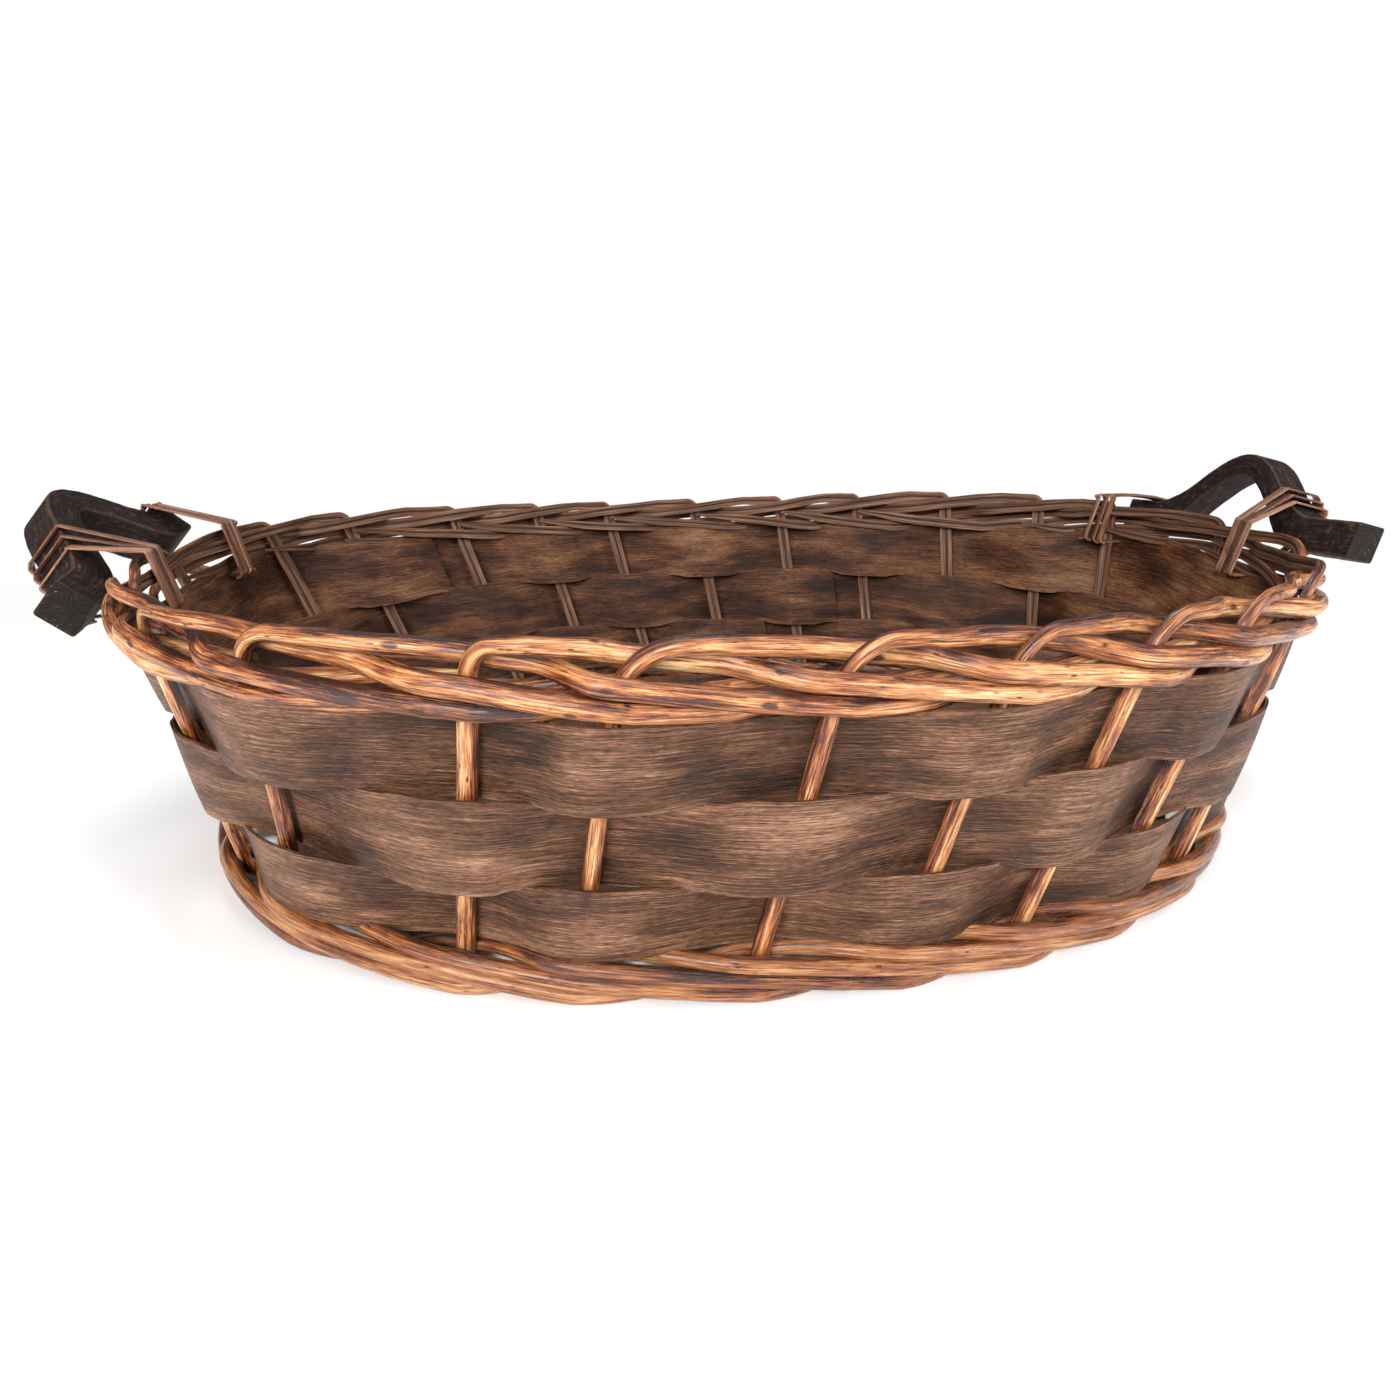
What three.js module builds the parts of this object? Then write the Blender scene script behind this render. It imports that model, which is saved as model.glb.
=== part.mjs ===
// An oval basket of split willow and wood chip, with two sawn ear handles.
// Units are millimetres and +Z is up. +X runs along the basket's length, through both handles,
// and the front is at -Y. The origin is under the middle of the basket, on the floor.
import * as THREE from 'three';

// Driving dimensions of the oval wall, measured on the line of the stakes.
const RIM_HALF_LENGTH = 205;
const RIM_HALF_WIDTH = 131;
const FOOT_HALF_LENGTH = 185;
const FOOT_HALF_WIDTH = 125;
const OVAL_FULLNESS = 2.24; // 2 is an ellipse, more is squarer
const RIM_LEVEL = 100; // height at which the stakes stand on the rim's own oval

// Stakes: half-round split willow, bark side out. Their tops bend over and make the rim.
const STAKE_COUNT = 24;
const STAKE_WIDTH = 6;
const STAKE_THICKNESS = 3.8;
const FIRST_STAKE = 0.544; // share of the oval from its right end, anticlockwise, to stake 24
const STAKE_TWIST = -0.02; // how far round the oval a stake's foot lies from its top
const BASE_TAIL = 28; // length of stake that lies under the base mat
const BASE_BEND = 4;
// How far each stake stands from its even place, in stake spacings.
const STAKE_SHIFTS = [
  -0.2, -0.2, 0.2, 0, 0.2, 0.2, 0.1, -0.1, -0.1, -0.2, 0.1, 0.35,
  0.1, 0.1, 0.1, 0, 0, 0, -0.2, -0.3, -0.2, -0.4, -0.2, -0.1,
];

// Rim: each stake bends over to the right, passes behind the next stake, comes out and runs down
// across two more, then goes in beneath the rim and up inside.
const CLEARANCE = 0.4; // air between pieces that touch on the real basket
const SPARE = 0.2; // added where a piece is straight between points on a curve
const RIM_TOP = 105.8; // height of a stake's centre line where it bends over
const RIM_BEND = 4; // how far below the top a stake begins to bend
const STRAND_HEIGHT = 5.4; // width of the stake's bent-over end, now upright
const STRAND_DROP = 5.8; // how far an end sinks from one stake to the next
const INSIDE_RISE = 6; // how far an end climbs inside, from one stake to the next
const CROSSING_DROP = 1.6; // how far an end sinks where it passes under the rim to the inside
const STRAND_TIP = 5; // where an end stops, in stake spacings
const TIP_SCALE = 0.7;
// Along the back the strands are thinner, so the rim is lower there.
const BACK_PINCH = 0.27; // share of the rim's height that is missing at the lowest place
const BACK_MIDDLE = 17.7; // where that is, in stakes
const BACK_HALF = 5.2; // and how far from it the rim has its full height again

// Bands: wide wood chip, woven in front of one stake and behind the next.
const BAND_THICKNESS = 1;
const BAND_JOINTS = [63.2, 36.8]; // heights at which one band meets the next
const BAND_GAP = 0.6;
const BAND_SWELL = 1.4; // how much further a band's lower edge bulges than its upper one
const BAND_OVERLAP = 1.1; // length of the doubled end, in stake spacings
const BAND_STEP_IN = 0.35; // over how much of a spacing the band steps in behind its own start
const BAND_ENDS = [20.4, 13.4, 16.4]; // where each band's inner end lies, in stakes
const BAND_NOTCH = 3.4; // room pressed into the top band under each lashing
const BAND_NOTCH_SPREAD = 12; // how far the room runs on past the lashing at either side

// Foot: four round willow rods, each in front of three stakes and behind the fourth.
const FOOT_ROD_COUNT = 4;
const FOOT_ROD_RADIUS = 2.2;
const FOOT_ROD_SIDES = 6; // with a flat one underneath
const FOOT_ROD_STEP = 5;
const FOOT_INNER_LEVEL = 10.1;
const FOOT_CROSSING_RISE = 1.6;

// Base: a mat of wood chips, woven on the stakes' bent ends.
const BASE_LEVEL = 5; // height of the bent ends' centre
const MAT_GAP = 4; // between one chip and the next beside it
const MAT_LONG_CHIPS = 5;
const MAT_CROSS_CHIPS = 8;
const MAT_MARGIN = 9.5; // from the stakes' line to the mat's edge
const MAT_SIDE_ROOM = 17.5; // from the mat's edge to its outermost chip
const MAT_CLEARANCE = 0.3; // between a chip and what it lies on

// Handles: sawn wood, nearly square in section, with an arch for the fingers between two straight
// feet. Each was sawn and tied on by hand, so the two differ.
const HANDLES = {
  left: {
    side: -1,
    width: 16, // across the board
    height: 13.2, // of the feet, in the board's own plane
    level: 100.6, // height of the feet's centre at the middle
    tilt: 0.149, // how much higher each millimetre towards the back lies
    lean: 46.2, // degrees outward from upright
    skew: 0.035, // how much further out each millimetre towards the back lies
    middle: 4, // where along Y the arch's middle is
    front: 39.5, // lengths in front of and behind the middle
    back: 38,
    archHalf: 31,
    archRise: 25,
    archHeight: 10.5, // the arch is sawn thinner than the feet
  },
  right: {
    side: 1,
    width: 12.3,
    height: 12.9,
    level: 102.7,
    tilt: -0.067,
    lean: 13.6,
    skew: -0.143,
    middle: 16,
    front: 57,
    back: 54.5,
    archHalf: 38,
    archRise: 24.5,
    archHeight: 8.5,
  },
};

// Lashings: split willow wound round a handle's foot and the rim.
const LASHING_RADIUS = 1.1;
const LASHING_CLEARANCE = 1.36; // it bridges the hollows between the strands
const LASHING_STEPS = 24;
const LASHING_SIDES = 6;
const LASHING_PITCH = 3; // from one turn to the next, which lies nearer the handle's middle
const LASHING_TURNS = 3;
// Each lashing's middle, from the handle's middle towards the front or the back.
const LASHINGS = [
  { handle: 'left', end: 'front', along: -21 },
  { handle: 'left', end: 'back', along: 30.5 },
  { handle: 'right', end: 'front', along: -26.5 },
  { handle: 'right', end: 'back', along: 47 },
];

const MATERIALS = {
  bark: new THREE.MeshStandardMaterial({ color: 0xa9632f, roughness: 0.45, metalness: 0 }),
  foot: new THREE.MeshStandardMaterial({ color: 0x9c552c, roughness: 0.45, metalness: 0 }),
  chip: new THREE.MeshStandardMaterial({ color: 0x5a4030, roughness: 0.75, metalness: 0 }),
  base: new THREE.MeshStandardMaterial({ color: 0x6a4c36, roughness: 0.8, metalness: 0 }),
  handle: new THREE.MeshStandardMaterial({ color: 0x2e2320, roughness: 0.8, metalness: 0 }),
  lashing: new THREE.MeshStandardMaterial({ color: 0x8a5540, roughness: 0.6, metalness: 0 }),
};

const UP = new THREE.Vector3(0, 0, 1);
const DOWN = new THREE.Vector3(0, 0, -1);
const basket = new THREE.Group();

function addPiece(name, geometry, material) {
  const mesh = new THREE.Mesh(geometry, material);
  mesh.name = name;
  basket.add(mesh);
  return mesh;
}

// A closed solid through rings of points. With endless true, the last ring joins the first.
function loft(rings, endless = false) {
  const count = rings[0].length;
  const points = rings.flat();
  const faces = [];
  const spans = endless ? rings.length : rings.length - 1;
  for (let i = 0; i < spans; i += 1) {
    const here = i * count;
    const next = ((i + 1) % rings.length) * count;
    for (let j = 0; j < count; j += 1) {
      const k = (j + 1) % count;
      faces.push(here + j, here + k, next + k, here + j, next + k, next + j);
    }
  }
  if (!endless) {
    const last = (rings.length - 1) * count;
    for (let j = 1; j < count - 1; j += 1) {
      faces.push(0, j + 1, j);
      faces.push(last, last + j, last + j + 1);
    }
  }
  if (signedVolume(points, faces) < 0) faces.reverse();
  const geometry = new THREE.BufferGeometry();
  geometry.setAttribute('position', new THREE.Float32BufferAttribute(points.flatMap((p) => p.toArray()), 3));
  geometry.setIndex(faces);
  geometry.computeVertexNormals();
  return geometry;
}

function signedVolume(points, faces) {
  let volume = 0;
  const normal = new THREE.Vector3();
  for (let i = 0; i < faces.length; i += 3) {
    normal.crossVectors(points[faces[i + 1]], points[faces[i + 2]]);
    volume += points[faces[i]].dot(normal) / 6;
  }
  return volume;
}

// Rings of a section carried along a path. Each path point has its place, the direction that
// the section's outer side faces, and the section's scale.
function sweep(path, section, endless = false) {
  return path.map(({ place, facing, scale = 1, spread = 1 }, i) => {
    const last = path.length - 1;
    const before = path[endless ? (i + last) % path.length : Math.max(i - 1, 0)].place;
    const after = path[endless ? (i + 1) % path.length : Math.min(i + 1, last)].place;
    const along = after.clone().sub(before).normalize();
    const across = along.clone().cross(facing).normalize();
    const outward = across.clone().cross(along).normalize();
    return section.map(([a, b]) => place.clone()
      .addScaledVector(across, a * scale * spread)
      .addScaledVector(outward, b * scale));
  });
}

function halfRound(width, thickness) {
  const side = width / 2;
  const half = thickness / 2;
  return [[-side, -half], [side, -half], [side, 0], [side / 2, half], [-side / 2, half], [-side, 0]];
}

function roundSection(radius, sides, turn) {
  return Array.from({ length: sides }, (_, i) => {
    const angle = ((i + turn) / sides) * Math.PI * 2;
    return [radius * Math.sin(angle), radius * Math.cos(angle)];
  });
}

const lerp = THREE.MathUtils.lerp;
const smooth = THREE.MathUtils.smoothstep;

// A superellipse as points at even steps of angle, with each point's share of the way round.
function makeOval(halfLength, halfWidth) {
  const steps = 720;
  const oval = { x: [], y: [], share: [0] };
  for (let i = 0; i <= steps; i += 1) {
    const c = Math.cos((i / steps) * Math.PI * 2);
    const s = Math.sin((i / steps) * Math.PI * 2);
    oval.x.push(halfLength * Math.sign(c) * Math.abs(c) ** (2 / OVAL_FULLNESS));
    oval.y.push(halfWidth * Math.sign(s) * Math.abs(s) ** (2 / OVAL_FULLNESS));
    if (i > 0) {
      const step = Math.hypot(oval.x[i] - oval.x[i - 1], oval.y[i] - oval.y[i - 1]);
      oval.share.push(oval.share[i - 1] + step);
    }
  }
  const whole = oval.share[steps];
  oval.share = oval.share.map((d) => d / whole);
  return oval;
}

function pointOnOval(oval, share) {
  const target = share - Math.floor(share);
  let low = 0;
  let high = oval.share.length - 1;
  while (high - low > 1) {
    const middle = (low + high) >> 1;
    if (oval.share[middle] <= target) low = middle;
    else high = middle;
  }
  const t = (target - oval.share[low]) / (oval.share[high] - oval.share[low]);
  return [lerp(oval.x[low], oval.x[high], t), lerp(oval.y[low], oval.y[high], t)];
}

const rimOval = makeOval(RIM_HALF_LENGTH, RIM_HALF_WIDTH);
const footOval = makeOval(FOOT_HALF_LENGTH, FOOT_HALF_WIDTH);

// The share of the way round at a stake number, which may lie between two stakes.
function shareAtStake(stake) {
  const whole = Math.floor(stake);
  const shiftAt = (n) => STAKE_SHIFTS[(((n - 1) % STAKE_COUNT) + STAKE_COUNT) % STAKE_COUNT];
  const shift = lerp(shiftAt(whole), shiftAt(whole + 1), stake - whole);
  return FIRST_STAKE + (stake + shift) / STAKE_COUNT;
}

function wallLine(stake, height) {
  const share = shareAtStake(stake);
  const [topX, topY] = pointOnOval(rimOval, share);
  const [footX, footY] = pointOnOval(footOval, share + STAKE_TWIST);
  const rise = height / RIM_LEVEL;
  return new THREE.Vector3(lerp(footX, topX, rise), lerp(footY, topY, rise), height);
}

// Level direction that points straight out of the wall.
function outOfWall(stake, height) {
  const step = 0.05;
  const along = wallLine(stake + step, height).sub(wallLine(stake - step, height));
  return along.cross(UP).normalize();
}

// A point at a stake number, a height and a distance out of the stakes' line.
function wallPoint(stake, height, out) {
  return wallLine(stake, height).addScaledVector(outOfWall(stake, height), out);
}

// Rim strand: distance out and height at a number of stake spacings from its own stake.
const strandOut = STAKE_THICKNESS + CLEARANCE + SPARE;
const behindStart = 0.35; // from here it moves in, to pass behind the next stake
const sinkStart = 0.4;
const behindEnd = 0.9;
const behindStop = 1.4; // and from here it comes out
const outsideStart = 1.9;
const crossingStart = 3.1;
const riseStart = 3.6;
const crossingEnd = 3.9;
const outsideLow = RIM_TOP - STRAND_DROP * (crossingStart - sinkStart);
const insideLevel = outsideLow - CROSSING_DROP;
const rimUnderside = insideLevel - STRAND_HEIGHT / 2;

function strandOffset(v) {
  const behind = smooth(v, behindStart, behindEnd) * strandOut;
  const outward = smooth(v, behindStop, outsideStart) * 2 * strandOut;
  const inward = smooth(v, crossingStart, crossingEnd) * 2 * strandOut;
  return outward - behind - inward;
}

function strandHeight(v) {
  if (v < sinkStart) return RIM_TOP;
  if (v < crossingStart) return RIM_TOP - STRAND_DROP * (v - sinkStart);
  if (v < riseStart) return lerp(outsideLow, insideLevel, smooth(v, crossingStart, riseStart));
  return insideLevel + INSIDE_RISE * (v - riseStart);
}

// How much of its full height the rim has at a stake number.
function rimShare(stake) {
  const away = Math.abs((((stake - BACK_MIDDLE) % STAKE_COUNT) + STAKE_COUNT * 1.5) % STAKE_COUNT
    - STAKE_COUNT / 2);
  return 1 - BACK_PINCH * 0.5 * (1 + Math.cos(Math.PI * Math.min(away / BACK_HALF, 1)));
}

// A place in the rim, lowered towards the rim's underside.
function rimPoint(stake, height, out) {
  return wallPoint(stake, lerp(rimUnderside, height, rimShare(stake)), out);
}

const stakeSection = halfRound(STAKE_WIDTH, STAKE_THICKNESS);
const strandSteps = [
  0.1, 0.35, 0.5, 0.7, 0.9, 1.15, 1.4, 1.55, 1.7, 1.9, 2.05, 2.5, 2.95, 3.1, 3.3, 3.5, 3.7, 3.9,
  4.5, STRAND_TIP,
];

function makeStake(number) {
  const rimOut = outOfWall(number, RIM_LEVEL);
  const footOut = outOfWall(number, 0);
  const bend = BASE_BEND;
  const path = [
    { place: wallPoint(number, BASE_LEVEL, -bend - BASE_TAIL), facing: DOWN },
    { place: wallPoint(number, BASE_LEVEL, -bend), facing: DOWN },
    { place: wallPoint(number, BASE_LEVEL + bend * 0.3, -bend * 0.3), facing: footOut.clone().add(DOWN) },
    { place: wallPoint(number, BASE_LEVEL + bend, 0), facing: footOut },
    { place: rimPoint(number, RIM_TOP - RIM_BEND, 0), facing: rimOut },
    { place: rimPoint(number + 0.03, RIM_TOP - RIM_BEND * 0.3, 0), facing: rimOut, scale: 0.95 },
  ];
  for (const v of strandSteps) {
    const thin = (v > 2.5) ? lerp(1, TIP_SCALE, (v - 2.5) / (STRAND_TIP - 2.5)) : 1;
    path.push({
      place: rimPoint(number + v, strandHeight(v), strandOffset(v)),
      facing: outOfWall(number + v, RIM_LEVEL),
      scale: (STRAND_HEIGHT / STAKE_WIDTH) * thin * rimShare(number + v),
    });
  }
  return loft(sweep(path, stakeSection));
}

for (let number = 1; number <= STAKE_COUNT; number += 1) {
  addPiece(`stake_${String(number).padStart(2, '0')}`, makeStake(number), MATERIALS.bark);
}

// Bands. Where a band's ends overlap, the inner one lies behind the outer one.
const bandReach = (STAKE_THICKNESS + BAND_THICKNESS) / 2 + CLEARANCE + SPARE;
const bandSteps = 4; // points from one stake to the next
const footTop = FOOT_ROD_RADIUS * 2 + FOOT_ROD_STEP * (FOOT_ROD_COUNT - 2) + FOOT_CROSSING_RISE;
const bandTops = [rimUnderside - CLEARANCE, ...BAND_JOINTS.map((joint) => joint - BAND_GAP / 2)];
const bandBottoms = [...BAND_JOINTS.map((joint) => joint + BAND_GAP / 2), footTop + CLEARANCE];

function notchDepth(stake) {
  let depth = 0;
  for (const lashing of LASHINGS) {
    const { side, middle } = HANDLES[lashing.handle];
    const p = wallLine(stake, RIM_LEVEL);
    const spread = LASHING_TURNS * LASHING_PITCH / 2 + BAND_NOTCH_SPREAD;
    const near = Math.abs(p.y - middle - lashing.along) < spread;
    if (Math.sign(p.x) === side && near) depth = BAND_NOTCH;
  }
  return depth;
}

function makeBand(index) {
  const first = BAND_ENDS[index];
  const length = STAKE_COUNT + BAND_OVERLAP;
  const count = Math.round(length * bandSteps);
  const rings = [];
  for (let i = 0; i <= count; i += 1) {
    const stake = first + (i / count) * length;
    const phase = Math.cos(Math.PI * (stake + index));
    const doubled = smooth(stake - first, STAKE_COUNT - BAND_STEP_IN, STAKE_COUNT);
    const inward = doubled * (BAND_THICKNESS + CLEARANCE);
    const upper = bandTops[index] - (index === 0 ? notchDepth(stake) : 0);
    const place = (height, swell, side) => wallPoint(
      stake, height, phase * (bandReach + swell) - inward + side * BAND_THICKNESS / 2);
    rings.push([
      place(bandBottoms[index], BAND_SWELL, 1), place(upper, 0, 1),
      place(upper, 0, -1), place(bandBottoms[index], BAND_SWELL, -1),
    ]);
  }
  return loft(rings);
}

for (let index = 0; index < bandTops.length; index += 1) {
  addPiece(`chip_band_${index + 1}`, makeBand(index), MATERIALS.chip);
}

// Foot rods. v counts stakes from where a rod comes out at the top of the stack.
const footRodOut = STAKE_THICKNESS / 2 + FOOT_ROD_RADIUS + CLEARANCE + SPARE;
const footSteps = [0, 0.3, 0.6, 0.9];

function footRodPlace(v) {
  const turn = ((v % FOOT_ROD_COUNT) + FOOT_ROD_COUNT) % FOOT_ROD_COUNT;
  const slot = Math.floor(turn);
  const part = turn - slot;
  const level = (n) => FOOT_ROD_RADIUS + FOOT_ROD_STEP * (FOOT_ROD_COUNT - 2 - n);
  const sunk = smooth(part, 0.25, 0.85);
  const late = smooth(part, 0.35, 0.9);
  if (slot < FOOT_ROD_COUNT - 2) return [footRodOut, lerp(level(slot), level(slot + 1), sunk)];
  if (slot === FOOT_ROD_COUNT - 2) {
    return [footRodOut * Math.cos(Math.PI * part), lerp(level(slot), FOOT_INNER_LEVEL, late)];
  }
  const rise = FOOT_CROSSING_RISE * Math.sin(Math.PI * part);
  return [-footRodOut * Math.cos(Math.PI * part), lerp(FOOT_INNER_LEVEL, level(0), part) + rise];
}

function makeFootRod(index) {
  const path = [];
  for (let stake = 0; stake < STAKE_COUNT; stake += 1) {
    for (const step of footSteps) {
      const [out, height] = footRodPlace(stake + step + index);
      path.push({
        place: wallPoint(stake + step, height, out),
        facing: outOfWall(stake + step, height),
      });
    }
  }
  return loft(sweep(path, roundSection(FOOT_ROD_RADIUS, FOOT_ROD_SIDES, 0), true), true);
}

for (let index = 0; index < FOOT_ROD_COUNT; index += 1) {
  addPiece(`foot_rod_${index + 1}`, makeFootRod(index), MATERIALS.foot);
}

// Mat: each chip is flat over a crossing chip and steps down in the gap to pass under the next.
const matLift = (BAND_THICKNESS + MAT_CLEARANCE) / 2;
const matLevel = BASE_LEVEL + STAKE_THICKNESS / 2 + MAT_CLEARANCE + BAND_THICKNESS / 2 + matLift;
const longChips = chipRow(MAT_LONG_CHIPS, FOOT_HALF_WIDTH - MAT_MARGIN);
const crossChips = chipRow(MAT_CROSS_CHIPS, FOOT_HALF_LENGTH - MAT_MARGIN);

// Chips side by side over the mat, with their width from the mat's own half size.
function chipRow(count, halfSize) {
  const width = (2 * (halfSize - MAT_SIDE_ROOM) - (count - 1) * MAT_GAP) / count;
  return { count, halfSize, width, pitch: width + MAT_GAP };
}

function ovalReach(across, halfAcross, halfAlong) {
  const share = Math.min(Math.abs(across) / halfAcross, 1);
  return halfAlong * (1 - share ** OVAL_FULLNESS) ** (1 / OVAL_FULLNESS);
}

function makeMatChip(index, row, crossing, parity, place) {
  const half = row.width / 2;
  const centre = (index - (row.count - 1) / 2) * row.pitch;
  const sideReach = [-half, half].map((side) => ovalReach(centre + side, row.halfSize, crossing.halfSize));
  const reach = Math.min(...sideReach);
  const marks = [];
  for (let j = 0; j < crossing.count; j += 1) {
    const middle = (j - (crossing.count - 1) / 2) * crossing.pitch;
    const lift = ((index + j + parity) % 2 === 0 ? 1 : -1) * matLift;
    for (const side of [-1, 1]) {
      const along = middle + side * crossing.width / 2;
      if (Math.abs(along) < reach - BAND_THICKNESS) marks.push([along, lift]);
    }
  }
  // The ends are cut off along the oval, so each side has its own length.
  const rings = marks.map(([along, lift]) => [along, along, lift]);
  rings.unshift([-sideReach[0], -sideReach[1], marks[0][1]]);
  rings.push([sideReach[0], sideReach[1], marks[marks.length - 1][1]]);
  const thick = BAND_THICKNESS / 2;
  return loft(rings.map(([left, right, lift]) => [
    place(left, centre - half, matLevel + lift - thick),
    place(right, centre + half, matLevel + lift - thick),
    place(right, centre + half, matLevel + lift + thick),
    place(left, centre - half, matLevel + lift + thick),
  ]));
}

for (let i = 0; i < MAT_LONG_CHIPS; i += 1) {
  const place = (along, across, height) => new THREE.Vector3(along, across, height);
  const chip = makeMatChip(i, longChips, crossChips, 0, place);
  addPiece(`base_chip_long_${i + 1}`, chip, MATERIALS.base);
}
for (let i = 0; i < MAT_CROSS_CHIPS; i += 1) {
  const place = (along, across, height) => new THREE.Vector3(across, along, height);
  const chip = makeMatChip(i, crossChips, longChips, 1, place);
  addPiece(`base_chip_cross_${i + 1}`, chip, MATERIALS.base);
}

// The rim's section at a place along Y, at either end of the basket.
const rimHalf = strandOut + STAKE_THICKNESS / 2;
const rimHigh = RIM_TOP + STRAND_HEIGHT / 2 + CLEARANCE;
// Over the strands that come out, the rim's outside steps back to the stakes' own faces.
const rimShoulder = strandHeight(lerp(behindStop, outsideStart, 0.5)) + STRAND_HEIGHT / 2 + CLEARANCE;

function rimSection(y, height) {
  const rise = height / RIM_LEVEL;
  const halfLength = lerp(FOOT_HALF_LENGTH, RIM_HALF_LENGTH, rise);
  const halfWidth = lerp(FOOT_HALF_WIDTH, RIM_HALF_WIDTH, rise);
  const reachAt = (across) => ovalReach(across, halfWidth, halfLength);
  const step = 1;
  const slope = (reachAt(y + step) - reachAt(y - step)) / (2 * step);
  const slant = Math.hypot(1, slope);
  const outHalf = (height > rimShoulder) ? STAKE_THICKNESS / 2 : rimHalf;
  return { inner: reachAt(y) - rimHalf * slant, outer: reachAt(y) + outHalf * slant };
}

// Handles. Each is sawn in one plane, which leans outward from its two straight feet.
function handleAxes({ side, lean }) {
  const angle = THREE.MathUtils.degToRad(lean);
  return {
    rise: new THREE.Vector3(side * Math.sin(angle), 0, Math.cos(angle)),
    face: new THREE.Vector3(-side * Math.cos(angle), 0, Math.sin(angle)),
  };
}

function riseAt({ middle, archHalf, archRise }, y) {
  const share = Math.min(Math.abs(y - middle) / archHalf, 1);
  return archRise * 0.5 * (1 + Math.cos(Math.PI * share));
}

function heightAt(handle, y) {
  return lerp(handle.height, handle.archHeight, smooth(riseAt(handle, y), 0, handle.archRise / 2));
}

// The handle's centre at y, with its seat still to be added along X.
function centreBeforeSeat(handle, y) {
  const { rise } = handleAxes(handle);
  const back = y - handle.middle;
  const foot = new THREE.Vector3(handle.side * handle.skew * back, y, handle.level + handle.tilt * back);
  return foot.addScaledVector(rise, riseAt(handle, y));
}

// The handle's corners at y as distances out along X and up.
function cornersBeforeSeat(handle, y) {
  const { rise, face } = handleAxes(handle);
  const halfWidth = handle.width / 2;
  const slope = (riseAt(handle, y + 1) - riseAt(handle, y - 1)) / 2;
  const halfHeight = (heightAt(handle, y) / 2) * Math.hypot(1, slope);
  const centre = centreBeforeSeat(handle, y);
  return [[-1, -1], [1, -1], [1, 1], [-1, 1]].map(([a, b]) => {
    const corner = centre.clone()
      .addScaledVector(rise, a * halfHeight)
      .addScaledVector(face, b * halfWidth);
    return [corner.x * handle.side, corner.z];
  });
}

// How far out the handle stands, so that it just rests against the rim.
function seatOut(handle) {
  let out = 0;
  for (let y = handle.middle - handle.front; y <= handle.middle + handle.back; y += 2) {
    const corners = cornersBeforeSeat(handle, y);
    corners.forEach(([x1, z1], i) => {
      const [x2, z2] = corners[(i + 1) % corners.length];
      for (let t = 0; t <= 1; t += 0.05) {
        const level = lerp(z1, z2, t);
        if (level < rimUnderside - CLEARANCE || level > rimHigh + CLEARANCE) continue;
        out = Math.max(out, rimSection(y, level).outer + CLEARANCE - lerp(x1, x2, t));
      }
    });
  }
  return out;
}

for (const handle of Object.values(HANDLES)) handle.out = seatOut(handle);

function makeHandle(handle) {
  const { face } = handleAxes(handle);
  const [w, h] = [handle.width / 2, handle.height / 2];
  const section = [[-h, -w], [h, -w], [h, w], [-h, w]];
  const ys = [handle.middle - handle.front];
  const steps = 20;
  for (let i = 0; i <= steps; i += 1) {
    ys.push(handle.middle + lerp(-handle.archHalf, handle.archHalf, i / steps));
  }
  ys.push(handle.middle + handle.back);
  const path = ys.map((y) => {
    const place = centreBeforeSeat(handle, y);
    place.x += handle.side * handle.out;
    return { place, facing: face, spread: heightAt(handle, y) / handle.height };
  });
  return loft(sweep(path, section));
}

for (const [name, handle] of Object.entries(HANDLES)) {
  addPiece(`handle_${name}`, makeHandle(handle), MATERIALS.handle);
}

// Lashings. At each point the strand lies on the tight outline round the handle's section and
// the rim's section there, at its own radius and a clearance.
function lashingCorners(handle, y) {
  const corners = cornersBeforeSeat(handle, y).map(([x, z]) => [x + handle.out, z]);
  for (const level of [rimUnderside, rimShoulder, rimHigh]) {
    const { inner, outer } = rimSection(y, level);
    corners.push([inner, level], [outer, level]);
  }
  return corners;
}

function makeLashing({ handle: name, along }) {
  const handle = HANDLES[name];
  const reach = LASHING_RADIUS + LASHING_CLEARANCE;
  const path = [];
  const count = LASHING_TURNS * LASHING_STEPS;
  for (let i = 0; i <= count; i += 1) {
    const turn = i / LASHING_STEPS;
    const angle = -Math.PI / 2 + turn * Math.PI * 2;
    const y = handle.middle + along + Math.sign(along) * LASHING_PITCH * (LASHING_TURNS / 2 - turn);
    const [nx, nz] = [Math.cos(angle), Math.sin(angle)];
    let best = null;
    for (const [x, z] of lashingCorners(handle, y)) {
      if (best === null || x * nx + z * nz > best[0] * nx + best[1] * nz) best = [x, z];
    }
    path.push({
      place: new THREE.Vector3(handle.side * (best[0] + nx * reach), y, best[1] + nz * reach),
      facing: new THREE.Vector3(handle.side * nx, 0, nz),
    });
  }
  return path;
}

// Least gap between one turn of a lashing and the next, on points of its centre line.
function leastSelfGap(path) {
  let least = Infinity;
  for (let i = 0; i < path.length; i += 1) {
    for (let j = i + LASHING_STEPS / 2; j < path.length; j += 1) {
      least = Math.min(least, path[i].place.distanceTo(path[j].place) - 2 * LASHING_RADIUS);
    }
  }
  return least;
}

for (const lashing of LASHINGS) {
  const path = makeLashing(lashing);
  const name = `lashing_${lashing.handle}_${lashing.end}`;
  console.log(`${name}: least gap between turns ${leastSelfGap(path).toFixed(2)} mm`);
  addPiece(name, loft(sweep(path, roundSection(LASHING_RADIUS, LASHING_SIDES, 0.5))), MATERIALS.lashing);
}

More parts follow.
